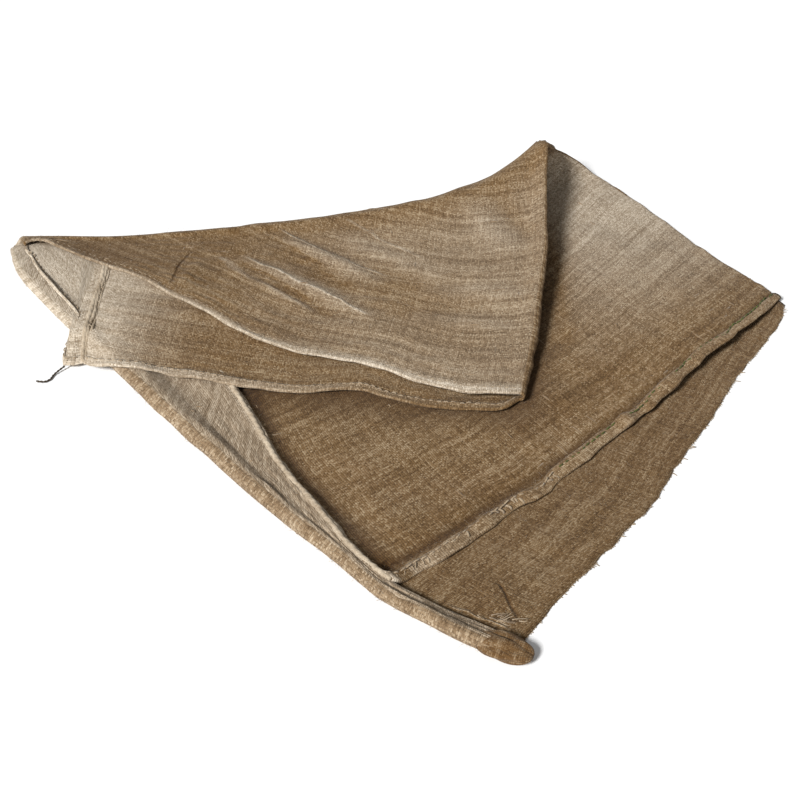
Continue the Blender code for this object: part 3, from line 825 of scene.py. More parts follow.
def mesh_piece(name, points, faces, thread_uv=None, smooth=True):
    """A new mesh object with these points and faces, and its place in the flat cloth."""
    mesh = bpy.data.meshes.new(name)
    mesh.from_pydata(np.asarray(points).tolist(), [], [list(face) for face in faces])
    if thread_uv is not None:
        layer = mesh.uv_layers.new(name="threads")
        layer.uv.foreach_set("vector", np.asarray(thread_uv, np.float32).ravel())
    if smooth:
        mesh.shade_smooth()
    piece = bpy.data.objects.new(name, mesh)
    bpy.context.collection.objects.link(piece)
    return piece


def solid_sheet(piece, thickness):
    """Gives the sheet its thickness, and applies it."""
    shell = piece.modifiers.new("thickness", "SOLIDIFY")
    shell.thickness = thickness
    shell.offset = 0.0
    made = bpy.data.meshes.new_from_object(piece.evaluated_get(bpy.context.evaluated_depsgraph_get()))
    piece.modifiers.clear()
    piece.data = made
    return piece


def cloth(grid, outward):
    """The sack's cloth, with the hems at its mouth and at its bottom end."""
    rows, columns, _ = grid.shape
    cells, held = tube_cells(rows, columns)
    places, across = thread_places(grid)
    numbers = np.arange(rows * columns).reshape(rows, columns)
    mouth = turned_hem(grid[::-1][:HEM_REACH], -outward[::-1][:HEM_REACH], MOUTH_HEM_WIDTH,
                       MOUTH_HEM_RADIUS, MOUTH_HEM_ROUGHNESS)
    ring_edge = np.append(numbers[-1], numbers[-1, 0])
    mouth_cells, mouth_places = hem_cells(ring_edge, across, CUT_LENGTH, mouth, grid.size // 3, False)
    front = slice(FIRST_FRONT, LAST_FRONT + 1)
    near_end = slice(LAP_CELLS, LAP_CELLS + HEM_REACH)
    bottom = turned_hem(grid[near_end, front], outward[near_end, front], BOTTOM_HEM_WIDTH,
                        BOTTOM_HEM_RADIUS, BOTTOM_HEM_ROUGHNESS)
    bottom_cells, bottom_places = hem_cells(numbers[LAP_CELLS, front], across[front], 0.0, bottom,
                                            grid.size // 3 + mouth.size // 3, True)
    faces = np.concatenate([cells[held], mouth_cells, bottom_cells])
    uv = np.concatenate([places[held], mouth_places, bottom_places])
    points = np.concatenate([grid.reshape(-1, 3), mouth.reshape(-1, 3), bottom.reshape(-1, 3)])
    points[:, 2] = np.maximum(points[:, 2], MID_HEIGHT)
    # rubbing, painted light and painted shade at each point, carried to the material as an attribute
    rub_and_painted_light = wear_and_painted_shading(grid)
    hem_rubs_and_painted_light = [np.tile(rub_and_painted_light[-1], len(mouth)), np.tile(rub_and_painted_light[LAP_CELLS, front], len(bottom))]
    rub_and_painted_light = np.concatenate([rub_and_painted_light.ravel(), *hem_rubs_and_painted_light])
    used, numbered = np.unique(faces, return_inverse=True)
    piece = mesh_piece("jute_cloth", points[used], numbered.reshape(faces.shape), uv)
    lined = np.zeros((rows, columns))  # 1 where the crest lines of rubbing, painted light and painted shade show
    lined[BEND_ROW + 2 :, BACK_COLUMNS] = 1.0
    lined[: LAP_CELLS + 3, BACK_COLUMNS] = 1.0
    lined = np.concatenate([lined.ravel(), np.zeros(len(points) - lined.size)])
    for field, values in (("wear_and_painted_shading", rub_and_painted_light), ("lined", lined)):
        layer = piece.data.attributes.new(field, "FLOAT", "POINT")
        layer.data.foreach_set("value", values[used].astype(np.float32))
    return solid_sheet(piece, CLOTH_THICKNESS)


# ---------------------------------------------------------------- yarns, stitches and fibres


class Strands:
    """Thin round strands, collected into one mesh."""

    def __init__(self):
        self.points, self.faces, self.count = [], [], 0

    def add(self, line, radius, sides=6):
        """A strand along a line of points. The radius is one number, or one for each point or ring point."""
        line = np.asarray(line, float)
        way = unit(np.gradient(line, axis=0))
        reference = np.where(np.abs(way[:, 2:]) < 0.8, (0.0, 0.0, 1.0), (1.0, 0.0, 0.0))
        side = unit(np.cross(way, reference))
        up = np.cross(side, way)
        angle = 2 * math.pi * np.arange(sides) / sides
        ring = side[:, None] * np.cos(angle)[None, :, None] + up[:, None] * np.sin(angle)[None, :, None]
        radius = np.asarray(radius, float)
        radius = np.broadcast_to(radius.reshape(-1, 1) if radius.ndim < 2 else radius, (len(line), sides))
        self.join(line[:, None] + ring * radius[..., None], line[0], line[-1])

    def join(self, rings, first_end, last_end):
        """Rings of points, closed at both ends, and kept above the surface the sack lies on."""
        ends = np.array([first_end, last_end])
        for part in (rings, ends):
            part[..., 2] = np.maximum(part[..., 2], 0.0)
        count, sides = rings.shape[:2]
        number = np.arange(count * sides).reshape(count, sides) + self.count
        following = np.roll(number, -1, axis=1)
        wall = np.stack([number[:-1], number[1:], following[1:], following[:-1]], axis=-1).reshape(-1, 4)
        first, last = self.count + count * sides, self.count + count * sides + 1
        self.faces += wall.tolist()
        self.faces += [[first, a, b] for a, b in zip(number[0], following[0])]
        self.faces += [[last, b, a] for a, b in zip(number[-1], following[-1])]
        self.points += [rings.reshape(-1, 3), ends]
        self.count += count * sides + 2

    def piece(self, name):
        return mesh_piece(name, np.concatenate(self.points), self.faces)


class Path:
    """A line of points on the cloth, with the direction out of the cloth, read at any distance along it."""

    def __init__(self, points, out):
        self.points, self.out = np.asarray(points), np.asarray(out)
        steps = np.linalg.norm(np.diff(self.points, axis=0), axis=1)
        self.reached = np.concatenate([[0], np.cumsum(steps)])
        self.length = self.reached[-1]
        self.aside = unit(np.cross(unit(np.gradient(self.points, axis=0)), self.out))

    def read(self, field, distance):
        return np.stack([np.interp(distance, self.reached, column) for column in field.T], axis=-1)

    def at(self, distance, aside=0.0, rise=0.0):
        """Points at these distances, moved aside and out of the cloth."""
        aside, rise = np.asarray(aside)[..., None], np.asarray(rise)[..., None]
        base = self.read(self.points, distance)
        return base + self.read(self.aside, distance) * aside + self.read(self.out, distance) * rise


def rope(strands, path, radius, aside, rise, pitch, depth):
    """A roll of yarn or cloth edge along the whole of a path: two twisted plies, a little uneven."""
    distance = np.arange(0, path.length, ROPE_STEP)
    uneven = 1 + wander(len(distance), *ROPE_SWELLS)
    shift = np.asarray(aside) + wander(len(distance), *ROPE_WAVES)
    angle = 2 * math.pi * np.arange(ROPE_SIDES) / ROPE_SIDES
    turn = 2 * angle[None, :] - 2 * math.pi * distance[:, None] / pitch
    ring = radius * (1 - depth + depth * np.abs(np.cos(turn / 2)) * 2)
    strands.add(path.at(distance, shift, rise), ring * uneven[:, None], ROPE_SIDES)


def running_stitches(strands, path, length, gap, radius, aside, rise):
    """A row of short stitches that come out of the cloth and go back in."""
    for start in np.arange(FIRST_STITCH, path.length - length, length + gap):
        shift = aside + random_numbers.normal() * STITCH_JITTER
        distance = start + random_numbers.normal() * STITCH_JITTER + np.linspace(0, length, len(STITCH_ARCH))
        strands.add(path.at(distance, shift, rise + radius * np.array(STITCH_ARCH)), radius)


def loose_end(strands, root, way, length, kind):
    """One loose fibre or thread end, which starts at the root and wanders off."""
    t = np.linspace(0, 1, kind["points"])[:, None]
    line = root + way * t * length + random_numbers.normal(size=3) * kind["curl"] * length * t**2
    line[:, 2] = np.maximum(line[:, 2], kind["lowest"])
    strands.add(line, kind["radius"] * np.linspace(1, kind["taper"], kind["points"]), kind["sides"])


def column_path(grid, outward, column, first, last, side=1):
    """A path along one column of the grid, on the outer side (1) or the inner side (-1)."""
    return Path(grid[first : last + 1, column], side * outward[first : last + 1, column])


def along_edge(grid, outward, rows, columns, back_from_edge, side=1):
    """A path beside an edge of the sheet, this far in from it. The rows start at the edge."""
    sheet, out = grid[rows][:, columns], outward[rows][:, columns]
    reached = walked(sheet)
    points = [read_down(sheet, reached, j, back_from_edge) for j in range(sheet.shape[1])]
    return Path(points, side * out[0])


SEAM_WIDTH = 0.0068
# The ropes of the side seam: radius, share of the way across the seam, rise, pitch and depth of the twist,
# and the waves it lies in.
#    radius  across  rise  pitch  depth  waves
SEAM_ROPES = [
    (0.0030, 0.0, 0.0016, 0.011, 0.14, None),
    (0.0023, 0.5, 0.0013, 0.013, 0.16, (8, 0.0007)),
    (0.0014, 1.0, 0.0006, 0.006, 0.16, (16, 0.0010)),
]
ROPE_STEP, ROPE_SIDES = 0.0012, 10
FIRST_STITCH, STITCH_JITTER = 0.003, 0.0006  # of the running stitches
STITCH_ARCH = (-1.6, 0.6, 0.9, 0.6, -1.6)  # heights along a running stitch, in radii

SEAM_STITCH_FROM, SEAM_STITCH_TO = 0.004, 0.008  # how far the stitches stay from the seam's start and end
SEAM_STITCH_LEAN = (0.0045, 0.0018)  # mean and spread
SEAM_STITCH_GAPS = (0.0045, 0.0105)
SEAM_STITCH_OVERHANG = (0.0026, 0.0010)  # past the seam's two sides
SEAM_STITCH_RADIUS, SEAM_STITCH_THICKER = 0.00055, 0.00020
SEAM_STITCH_HEIGHTS = (-0.0006, 0.0022, 0.0031, 0.0028, 0.0027, 0.0018, -0.0006)

PALE_HEM_SHARE = 0.36  # the share of the bottom hem, from the side seam on, that is sewn with pale yarn
HEM_STITCH_INSET, HEM_PATH_STEP = BOTTOM_HEM_WIDTH - 0.003, 0.004
HEM_STITCH = {"length": 0.0075, "gap": 0.0020, "radius": 0.0009, "aside": -0.001,
              "rise": 2 * BOTTOM_HEM_RADIUS + 0.0011}
# The wild stitches across the pale part of the hem, each between its least and its most.
WILD_LEAN, WILD_START, WILD_SPAN = (-0.006, 0.008), (-0.004, 0.003), (0.004, 0.009)
WILD_RADIUS, WILD_GAP, FIRST_WILD = (0.0006, 0.0014), (0.002, 0.014), 0.002
WILD_HEIGHTS = (-0.0014, 0.0002, 0.0006, 0.0007, 0.0005, 0.0000, -0.0016)
MOUTH_STITCH_LENGTH, MOUTH_STITCH_GAP = 0.0060, 0.0030
MOUTH_STITCH_INSET = MOUTH_HEM_WIDTH - 0.0025
ON_THE_HEM = 2 * MOUTH_HEM_RADIUS + 0.0008

SLUBS, SLUB_RISE, SLUB_REACH = 260, 0.0005, 0.05  # how many, how high, and the longest they may bridge
SLUB_LENGTH, SLUB_LONGER = 0.006, 0.016
SLUB_RADIUS, SLUB_THICKER, SLUB_END = 0.0006, 0.0006, 0.0001
DRAWN_THREADS, DRAWN_THREAD_RADIUS = (0.029, 0.125), 0.00045  # thick threads this far in from the mouth
DRAWN_THREAD_COLUMNS, DRAWN_THREAD_START, DRAWN_THREAD_POINTS = 36, 0.002, 120
KNOT_PLACE, KNOT_LENGTH, KNOT_RADIUS, KNOT_RISE = (0.269, 0.122), 0.005, 0.0018, 0.0012

FIBRE = {"points": 5, "curl": 0.35, "lowest": 0.0004, "radius": 0.00014, "taper": 0.45, "sides": 3}
FRAYED_END = {"points": 5, "curl": 0.25, "lowest": 0.0006, "radius": 0.0007, "taper": 0.55, "sides": 5}
TUFT_STRAND = {"points": 6, "curl": 0.2, "lowest": 0.0035, "radius": 0.0006, "taper": 0.5, "sides": 5}
FIBRE_LENGTH, FIBRE_LONGER = 0.002, 0.005
FIBRE_LIFT, FIBRE_ROOT = (0.15, 0.9), 0.0006
FRAYED_LENGTH, FRAYED_LONGER = 0.0010, 0.0022
FRAYED_FROM_CORNER, FRAYED_ROOT = 0.002, -0.001
FRAYED_WAY_SPREAD = (0.25, 0.25, 0.10)
LONG_ENDS, LONG_END_LONGER = 0.03, 0.004  # the share of the frayed ends that stick out, and how far
TUFT_PLACE, TUFT_STRANDS = (0.092, -0.345, 0.0085), 14
TUFT_LENGTH, TUFT_LONGER, TUFT_SPREAD = 0.005, 0.010, (0.009, 0.004, 0.0006)
TUFT_WAY, TUFT_WAY_SPREAD = (1.0, -0.15, 0.10), (0.3, 0.35, 0.12)
MOUTH_ROWS = slice(None, -30, -1)
BOTTOM_ROWS = slice(LAP_CELLS, LAP_CELLS + 24)
FRONT_COLUMNS = slice(FIRST_FRONT, LAST_FRONT + 1)
BACK_COLUMNS = slice(FIRST_BACK, LAST_BACK + 1)
LOWER_COLUMNS = slice(0, LAST_FRONT + 1)


def side_seam(grid, outward):
    """The side seam: rolled edges with thick stitches across, outside on the sack and inside on the flap."""
    strands = Strands()
    outside = column_path(grid, outward, FIRST_FRONT, LAP_CELLS, BEND_ROW)
    inside = column_path(grid, outward, FIRST_FRONT, BEND_ROW, len(grid) - 1, -1)
    for path, way in ((outside, 1), (inside, -1)):
        samples = len(np.arange(0, path.length, ROPE_STEP))
        for radius, across, rise, pitch, depth, waves in SEAM_ROPES:
            wave = wander(samples, *waves) if waves else 0.0
            rope(strands, path, radius, way * (across * SEAM_WIDTH + wave), rise, pitch, depth)
        t = np.linspace(0, 1, len(SEAM_STITCH_HEIGHTS))
        start = SEAM_STITCH_FROM
        while start < path.length - SEAM_STITCH_TO:
            lean = SEAM_STITCH_LEAN[0] + random_numbers.normal() * SEAM_STITCH_LEAN[1]
            aside = way * (-SEAM_STITCH_OVERHANG[0] + t * (SEAM_WIDTH + sum(SEAM_STITCH_OVERHANG)))
            line = path.at(start + t * lean, aside, np.array(SEAM_STITCH_HEIGHTS))
            strands.add(line, SEAM_STITCH_RADIUS + SEAM_STITCH_THICKER * random_numbers.random())
            start += random_numbers.uniform(*SEAM_STITCH_GAPS)
    return strands.piece("side_seam")


def hem_stitches(grid, outward):
    """The stitches that hold the bottom hem down: pale near the side seam, green further right."""
    path = along_edge(grid, outward, BOTTOM_ROWS, FRONT_COLUMNS, HEM_STITCH_INSET)
    pale, green = Strands(), Strands()
    reach = PALE_HEM_SHARE * path.length
    for strands, start, end in ((pale, 0.0, reach), (green, reach, path.length)):
        wanted = np.arange(start, end, HEM_PATH_STEP)
        part = Path(path.at(wanted), path.read(path.out, wanted))
        running_stitches(strands, part, **HEM_STITCH)
    t = np.linspace(0, 1, len(WILD_HEIGHTS))
    start = FIRST_WILD
    while start < reach:
        lean = random_numbers.uniform(*WILD_LEAN)
        aside = random_numbers.uniform(*WILD_START) + t * random_numbers.uniform(*WILD_SPAN)
        height = 2 * BOTTOM_HEM_RADIUS + np.array(WILD_HEIGHTS)
        pale.add(path.at(start + t * lean, aside, height), random_numbers.uniform(*WILD_RADIUS))
        start += random_numbers.uniform(*WILD_GAP)
    return pale.piece("bottom_hem_stitches"), green.piece("bottom_hem_green_stitches")


def mouth_stitches(grid, outward):
    """The row of stitches round the mouth, where it shows from outside and from inside."""
    strands = Strands()
    runs = [  # columns, side, radius, rise
        (BACK_COLUMNS, 1, 0.0005, 0.0004),
        (LOWER_COLUMNS, -1, 0.0007, ON_THE_HEM),
        (BACK_COLUMNS, -1, 0.0007, ON_THE_HEM),
    ]
    for columns, side, radius, rise in runs:
        path = along_edge(grid, outward, MOUTH_ROWS, columns, MOUTH_STITCH_INSET, side)
        running_stitches(strands, path, MOUTH_STITCH_LENGTH, MOUTH_STITCH_GAP, radius, 0.0, rise)
    return strands.piece("mouth_stitches")


def thick_threads(grid, outward):
    """Slubs that stand out of the weave, two long thick threads on the flap, and one small knot."""
    strands = Strands()
    rows, columns, _ = grid.shape
    for _ in range(SLUBS):
        i = random_numbers.integers(LAP_CELLS + 3, rows - 8)
        j = random_numbers.integers(2, columns - 2)
        crosswise = random_numbers.random() < 0.5
        line = grid[i, j : j + 4] if crosswise else grid[i : i + 5, j]
        out = outward[i, j : j + 4] if crosswise else outward[i : i + 5, j]
        if len(line) < 3 or np.linalg.norm(line[-1] - line[0]) > SLUB_REACH:
            continue
        path = Path(line, out)
        length = min(path.length, SLUB_LENGTH + SLUB_LONGER * random_numbers.random())
        distance = np.linspace(0, length, 7)
        bulge = np.sin(np.linspace(0, math.pi, 7)) * (SLUB_RADIUS + SLUB_THICKER * random_numbers.random())
        strands.add(path.at(distance, 0.0, SLUB_RISE), bulge + SLUB_END)
    flap_rows = slice(None, -FLAP_CELLS - 1, -1)
    right_columns = slice(FIRST_BACK, FIRST_BACK + DRAWN_THREAD_COLUMNS)
    for from_mouth in DRAWN_THREADS:
        path = along_edge(grid, outward, flap_rows, right_columns, from_mouth)
        distance = np.linspace(DRAWN_THREAD_START, path.length, DRAWN_THREAD_POINTS)
        line = path.at(distance, 0.0, DRAWN_THREAD_RADIUS)
        strands.add(line, DRAWN_THREAD_RADIUS * (1 + wander(len(line), *DRAWN_THREAD_SWELLS)))
    front = grid[LAP_CELLS:BASE_CELLS, FRONT_COLUMNS, :2]
    away = np.linalg.norm(front - (np.array(KNOT_PLACE) - FOOTPRINT_MIDDLE), axis=2)
    i, j = np.unravel_index(np.argmin(away), away.shape)
    i, j = i + LAP_CELLS, j + FIRST_FRONT
    knot = Path(grid[i : i + 5, j], outward[i : i + 5, j])
    line = knot.at(np.linspace(0, KNOT_LENGTH, 7), 0.0, KNOT_RISE)
    strands.add(line, np.sin(np.linspace(0.1, math.pi - 0.1, 7)) * KNOT_RADIUS, 8)
    return strands.piece("thick_threads")


def frayed_edges(grid):
    """Short thread ends along the cut bottom end of the back sheet, and a tuft at the sack's corner."""
    strands = Strands()
    back = Path(grid[0, BACK_COLUMNS], unit(grid[0, BACK_COLUMNS] - grid[2, BACK_COLUMNS]))
    for start in np.arange(FRAYED_FROM_CORNER, back.length - FRAYED_FROM_CORNER, THREAD_SPACING):
        root = back.at(np.array(start), 0.0, FRAYED_ROOT)
        way = back.read(back.out, np.array(start))
        way = unit(way + random_numbers.normal(size=3) * FRAYED_WAY_SPREAD)
        length = FRAYED_LENGTH + FRAYED_LONGER * random_numbers.random() ** 2
        if random_numbers.random() < LONG_ENDS:
            length += LONG_END_LONGER
        loose_end(strands, root, way, length, FRAYED_END)
    tuft = np.array(TUFT_PLACE) - (*FOOTPRINT_MIDDLE, 0)
    for _ in range(TUFT_STRANDS):
        root = tuft + random_numbers.normal(size=3) * TUFT_SPREAD
        way = unit(np.array(TUFT_WAY) + random_numbers.normal(size=3) * TUFT_WAY_SPREAD)
        loose_end(strands, root, way, TUFT_LENGTH + TUFT_LONGER * random_numbers.random(), TUFT_STRAND)
    return strands.piece("frayed_ends")


def scattered(grid, outward, count, rows, columns):
    """Random places in a part of the grid, with the direction out of the cloth."""
    i = random_numbers.uniform(rows.start, rows.stop - 1, count)
    j = random_numbers.uniform(columns.start, columns.stop - 1, count)
    a, b = np.floor(i).astype(int), np.floor(j).astype(int)
    s, t = (i - a)[:, None], (j - b)[:, None]
    points = between(grid[a, b], grid[a, b + 1], grid[a + 1, b], grid[a + 1, b + 1], s, t)
    return points, outward[a, b], unit(grid[a, b + 1] - grid[a, b])


def fuzz(grid, outward):
    """Loose fibres: sparse on the open cloth, many along the hems and the side seam."""
    strands = Strands()
    rows = len(grid)
    back_and_roll, at_the_mouth = slice(FIRST_BACK, grid.shape[1] - 1), slice(rows - 6, rows - 1)
    zones = [  # rows, columns, number, side
        (slice(LAP_CELLS, rows - 1), slice(0, LAST_FRONT), 1300, 1),  # the front sheet and the strip
        (slice(0, rows - 1), back_and_roll, 1500, 1),
        (slice(0, LAP_CELLS + 2), slice(FIRST_BACK, LAST_BACK), 500, -1),  # the lap's upper side
        (at_the_mouth, slice(FIRST_BACK, LAST_BACK), 700, 1),
        (at_the_mouth, slice(0, LAST_FRONT), 800, -1),
        (slice(LAP_CELLS, LAP_CELLS + 5), slice(FIRST_FRONT, LAST_FRONT), 800, 1),  # the bottom hem
        (slice(LAP_CELLS, BASE_CELLS), slice(FIRST_FRONT - 1, FIRST_FRONT + 2), 500, 1),  # the side seam
        (slice(0, BASE_CELLS), slice(LAST_BACK, grid.shape[1] - 1), 400, 1),  # the roll
    ]
    for row_range, column_range, count, side in zones:
        points, out, across = scattered(grid, outward, count, row_range, column_range)
        out = out * side
        level = unit(np.cross(out, across))
        turn = random_numbers.uniform(0, 2 * math.pi, count)[:, None]
        lift = random_numbers.uniform(*FIBRE_LIFT, count)[:, None]
        ways = unit(across * np.cos(turn) + level * np.sin(turn) + out * lift)
        lengths = FIBRE_LENGTH + FIBRE_LONGER * random_numbers.random(count) ** 2
        for root, way, length in zip(points + out * FIBRE_ROOT, ways, lengths):
            loose_end(strands, root, way, length, FIBRE)
    return strands.piece("loose_fibres")


# Middle and half sizes of the knob of cloth in which the roll ends, how far it is turned, and its two tucks.
KNOB_MIDDLE = (0.1005, -0.3815, 0.0095)
KNOB_SIZE = (0.0300, 0.0165, 0.0098)
KNOB_TURN = math.radians(-24)
#               depth  place  slant  width
KNOB_TUCKS = [(0.24, 1.1, 0.5, 0.22), (0.18, 2.3, -0.3, 0.20)]
KNOB_RIPPLE = 0.07
KNOB_GIRTH = 0.012  # metres of cloth for a radian round it
KNOB_SIDES, KNOB_RINGS = 56, 36


def rolled_end():
    """The knob in which the roll ends at the sack's corner: rolled cloth, tucked in on itself."""
    angle = 2 * math.pi * np.arange(KNOB_SIDES) / KNOB_SIDES
    t = np.linspace(-1, 1, KNOB_RINGS + 2)[1:-1]
    rings = []
    for x in np.sin(t * math.pi / 2):
        shell = max(1 - x**2, 0) ** 0.4
        fold = 1 + KNOB_RIPPLE * np.sin(5 * angle + 4 * x)
        for depth, place, slant, width in KNOB_TUCKS:
            fold -= depth * bell(angle - place - slant * x, width)
        ring = [x + 0 * angle, np.cos(angle) * shell * fold, np.sin(angle) * shell * fold]
        rings.append(np.stack(ring, axis=1) * KNOB_SIZE)
    rings = np.array(rings)
    cosine, sine = math.cos(KNOB_TURN), math.sin(KNOB_TURN)
    turn = np.array([[cosine, -sine, 0], [sine, cosine, 0], [0, 0, 1]])
    middle = np.array(KNOB_MIDDLE) - (*FOOTPRINT_MIDDLE, 0)
    tips = np.array([[-KNOB_SIZE[0], 0, 0], [KNOB_SIZE[0], 0, 0]]) @ turn.T + middle
    strands = Strands()
    strands.join((rings @ turn.T + middle)[:, ::-1], tips[0], tips[1])
    piece = strands.piece("rolled_end")
    layer = piece.data.uv_layers.new(name="threads")
    corners = np.array([piece.data.vertices[loop.vertex_index].co[:] for loop in piece.data.loops])
    flat = (corners - middle) @ turn
    angle = np.arctan2(flat[:, 2], flat[:, 1])
    place = np.stack([angle * KNOB_GIRTH, flat[:, 0]], axis=1)
    layer.uv.foreach_set("vector", place.astype(np.float32).ravel())
    return piece


# ---------------------------------------------------------------- materials


class Graph:
    """Short ways to add nodes to a material."""

    def __init__(self, name):
        self.material = bpy.data.materials.new(name)
        self.material.use_nodes = True
        self.tree = self.material.node_tree
        self.shader = self.tree.nodes["Principled BSDF"]

    def feed(self, socket, value):
        if isinstance(value, bpy.types.NodeSocket):
            self.tree.links.new(value, socket)
        else:
            socket.default_value = value

    def node(self, kind, output=0, inputs=(), **settings):
        made = self.tree.nodes.new(kind)
        for key, value in settings.items():
            setattr(made, key, value)
        for key, value in dict(inputs).items():
            self.feed(made.inputs[key], value)
        return made.outputs[output]

    def math(self, operation, *values):
        return self.node("ShaderNodeMath", inputs=dict(enumerate(values)), operation=operation)

    def vector(self, operation, *values):
        return self.node("ShaderNodeVectorMath", inputs=dict(enumerate(values)), operation=operation)

    def dot(self, first, second):
        """The dot product of two vectors."""
        inputs = {0: first, 1: second}
        return self.node("ShaderNodeVectorMath", output=1, inputs=inputs, operation="DOT_PRODUCT")

    def drifted(self, place, scale, reach):
        """The place, moved about softly by no more than half the reach on each axis."""
        inputs = {"Vector": place, "Scale": scale, "Detail": 2.0}
        drift = self.node("ShaderNodeTexNoise", output=1, inputs=inputs)
        return self.vector("MULTIPLY_ADD", self.vector("SUBTRACT", drift, (0.5, 0.5, 0.5)), reach, place)

    def mix(self, share, first, second):
        """Between two colours."""
        return self.node("ShaderNodeMix", output=2, inputs={0: share, 6: first, 7: second}, data_type="RGBA")

    def ramp(self, value, low, high, to_low=0.0, to_high=1.0):
        """A value carried from one range to another, and kept inside it."""
        inputs = {0: value, 1: low, 2: high, 3: to_low, 4: to_high}
        return self.node("ShaderNodeMapRange", inputs=inputs, clamp=True)

    def noise(self, vector, scale, detail=2.0, roughness=0.5):
        inputs = {"Vector": vector, "Scale": scale, "Detail": detail, "Roughness": roughness}
        return self.node("ShaderNodeTexNoise", inputs=inputs)

    def white(self, vector):
        return self.node("ShaderNodeTexWhiteNoise", inputs={"Vector": vector}, noise_dimensions="3D")

    def add_up(self, *weighted):
        """The sum of values, each with its weight."""
        total = 0.0
        for value, weight in weighted:
            total = self.math("MULTIPLY_ADD", value, weight, total)
        return total


# Pale lines, partly rubbed crests and partly painted highlight, and dark creases painted as shade, on the
# flap's upper sheet
# and on the lap: a line, its half width, and how pale it is (dark below zero).
#                   x0      y0      x1      y1     width   paleness
CREST_HIGHLIGHTS_AND_SHADES = [
    (-0.157, 0.315, -0.088, 0.259, 0.0020, 1.0),
    (-0.088, 0.259, -0.020, 0.213, 0.0022, 0.6),
    (-0.197, 0.253, -0.114, 0.185, 0.0022, 1.0),
    (-0.114, 0.185, -0.039, 0.136, 0.0020, 0.9),
    (-0.236, 0.260, -0.178, 0.196, 0.0040, 0.5),
    (-0.178, 0.196, -0.112, 0.141, 0.0040, 0.45),
    (-0.086, 0.346, 0.030, 0.249, 0.0026, 0.45),
    (-0.170, 0.298, -0.100, 0.236, 0.0040, -0.45),
    (-0.200, 0.236, -0.120, 0.168, 0.0035, -0.45),
    (-0.272, 0.270, -0.290, 0.189, 0.0018, -1.2),
    (0.099, -0.291, 0.114, -0.336, 0.0018, -1.2),
    (0.049, -0.322, 0.110, -0.352, 0.0013, 0.9),
    (0.088, -0.337, 0.113, -0.343, 0.0020, 1.1),
]

THREAD_SPACING = 0.0021
# The cloth's colours, from the palest threads to the painted shade in the gaps between them, and those of the
# cloth where it is rubbed or painted lit.
PALE = (0.395, 0.292, 0.178, 1.0)
MIDDLE = (0.190, 0.110, 0.044, 1.0)
BROWN = (0.084, 0.043, 0.0135, 1.0)
GAP_SHADE = (0.012, 0.006, 0.002, 1.0)
WORN_OR_LIT_DARKEST = (0.34, 0.262, 0.175, 1.0)
WORN_OR_LIT_PALEST = (0.70, 0.61, 0.49, 1.0)
PAINTED_SHADE = (0.38, 0.30, 0.20, 1.0)  # what the colours are multiplied by at full painted shade
ROUGHNESS, SPECULAR = 0.95, 0.15
SHEEN_WEIGHT, SHEEN_ROUGHNESS = 0.08, 0.5
SHEEN_TINT = (1.0, 0.97, 0.92, 1.0)
BROWN_TONE, MIDDLE_TONE, PALE_TONE = 1.50, 1.83, 2.22  # the tones at which a thread has these colours
RUBBED_OR_LIT_TONES = (1.43, 2.22)  # the tones between which rubbed or painted-lit cloth goes from its darkest to its palest
RUB_AND_PAINTED_LIGHT_BY_TONE = (1.43, 2.12, 0.70, 1.10)  # pale threads take more of the rubbing and of the painted light and shade: from tone, to tone, least, most
KNOB_BROWN = (0.09, 0.040, 0.012, 1.0)


THINNEST, THICKER = 0.24, 0.36  # a thread's half width, as a share of the spacing, and what a slub adds
WAVE_HEIGHT, BODY_HEIGHT, GAP_HEIGHT = 0.5, 0.55, -0.6


def one_way(g, place, other_place, parity, slub):
    """The height of one set of threads over the middle of the cloth."""
    half_width = g.math("MULTIPLY_ADD", slub, THICKER, THINNEST)
    aside = g.math("DIVIDE", g.math("ABSOLUTE", place), half_width)
    round_off = g.math("SUBTRACT", 1.0, g.math("MULTIPLY", aside, aside))
    body = g.math("SQRT", g.math("MAXIMUM", round_off, 0.0))
    wave = g.math("COSINE", g.math("MULTIPLY", other_place, math.pi))
    body = g.math("MULTIPLY", body, BODY_HEIGHT)
    height = g.math("MULTIPLY_ADD", g.math("MULTIPLY", wave, parity), WAVE_HEIGHT, body)
    covered = g.math("GREATER_THAN", round_off, 0.0)
    return g.math("MULTIPLY_ADD", g.math("SUBTRACT", height, GAP_HEIGHT), covered, GAP_HEIGHT)


def crest_highlights_and_shades(g):
    """The pale lines, rubbed and painted highlight, and the dark lines of painted shade, on the flap's upper
    sheet and on the lap.
    """
    place = g.drifted(g.node("ShaderNodeTexCoord", output=3), 20.0, (0.018, 0.018, 0.0))
    total = 0.0
    for x0, y0, x1, y1, width, paleness in CREST_HIGHLIGHTS_AND_SHADES:
        way = Vector((x1 - x0, y1 - y0, 0.0))
        start = (x0 - FOOTPRINT_MIDDLE[0], y0 - FOOTPRINT_MIDDLE[1], 0.0)
        from_start = g.vector("SUBTRACT", place, start)
        share = g.dot(from_start, way / way.length_squared)
        aside = g.dot(from_start, Vector((-way.y, way.x, 0.0)).normalized())
        near = g.ramp(g.math("ABSOLUTE", aside), 0.3 * width, 1.5 * width, paleness, 0.0)
        fade = g.math("MULTIPLY", g.ramp(share, -0.1, 0.12), g.ramp(share, 0.88, 1.1, 1.0, 0.0))
        total = g.math("MULTIPLY_ADD", near, fade, total)
    lined = g.node("ShaderNodeAttribute", output=2, attribute_name="lined")
    return g.math("MULTIPLY", total, lined)


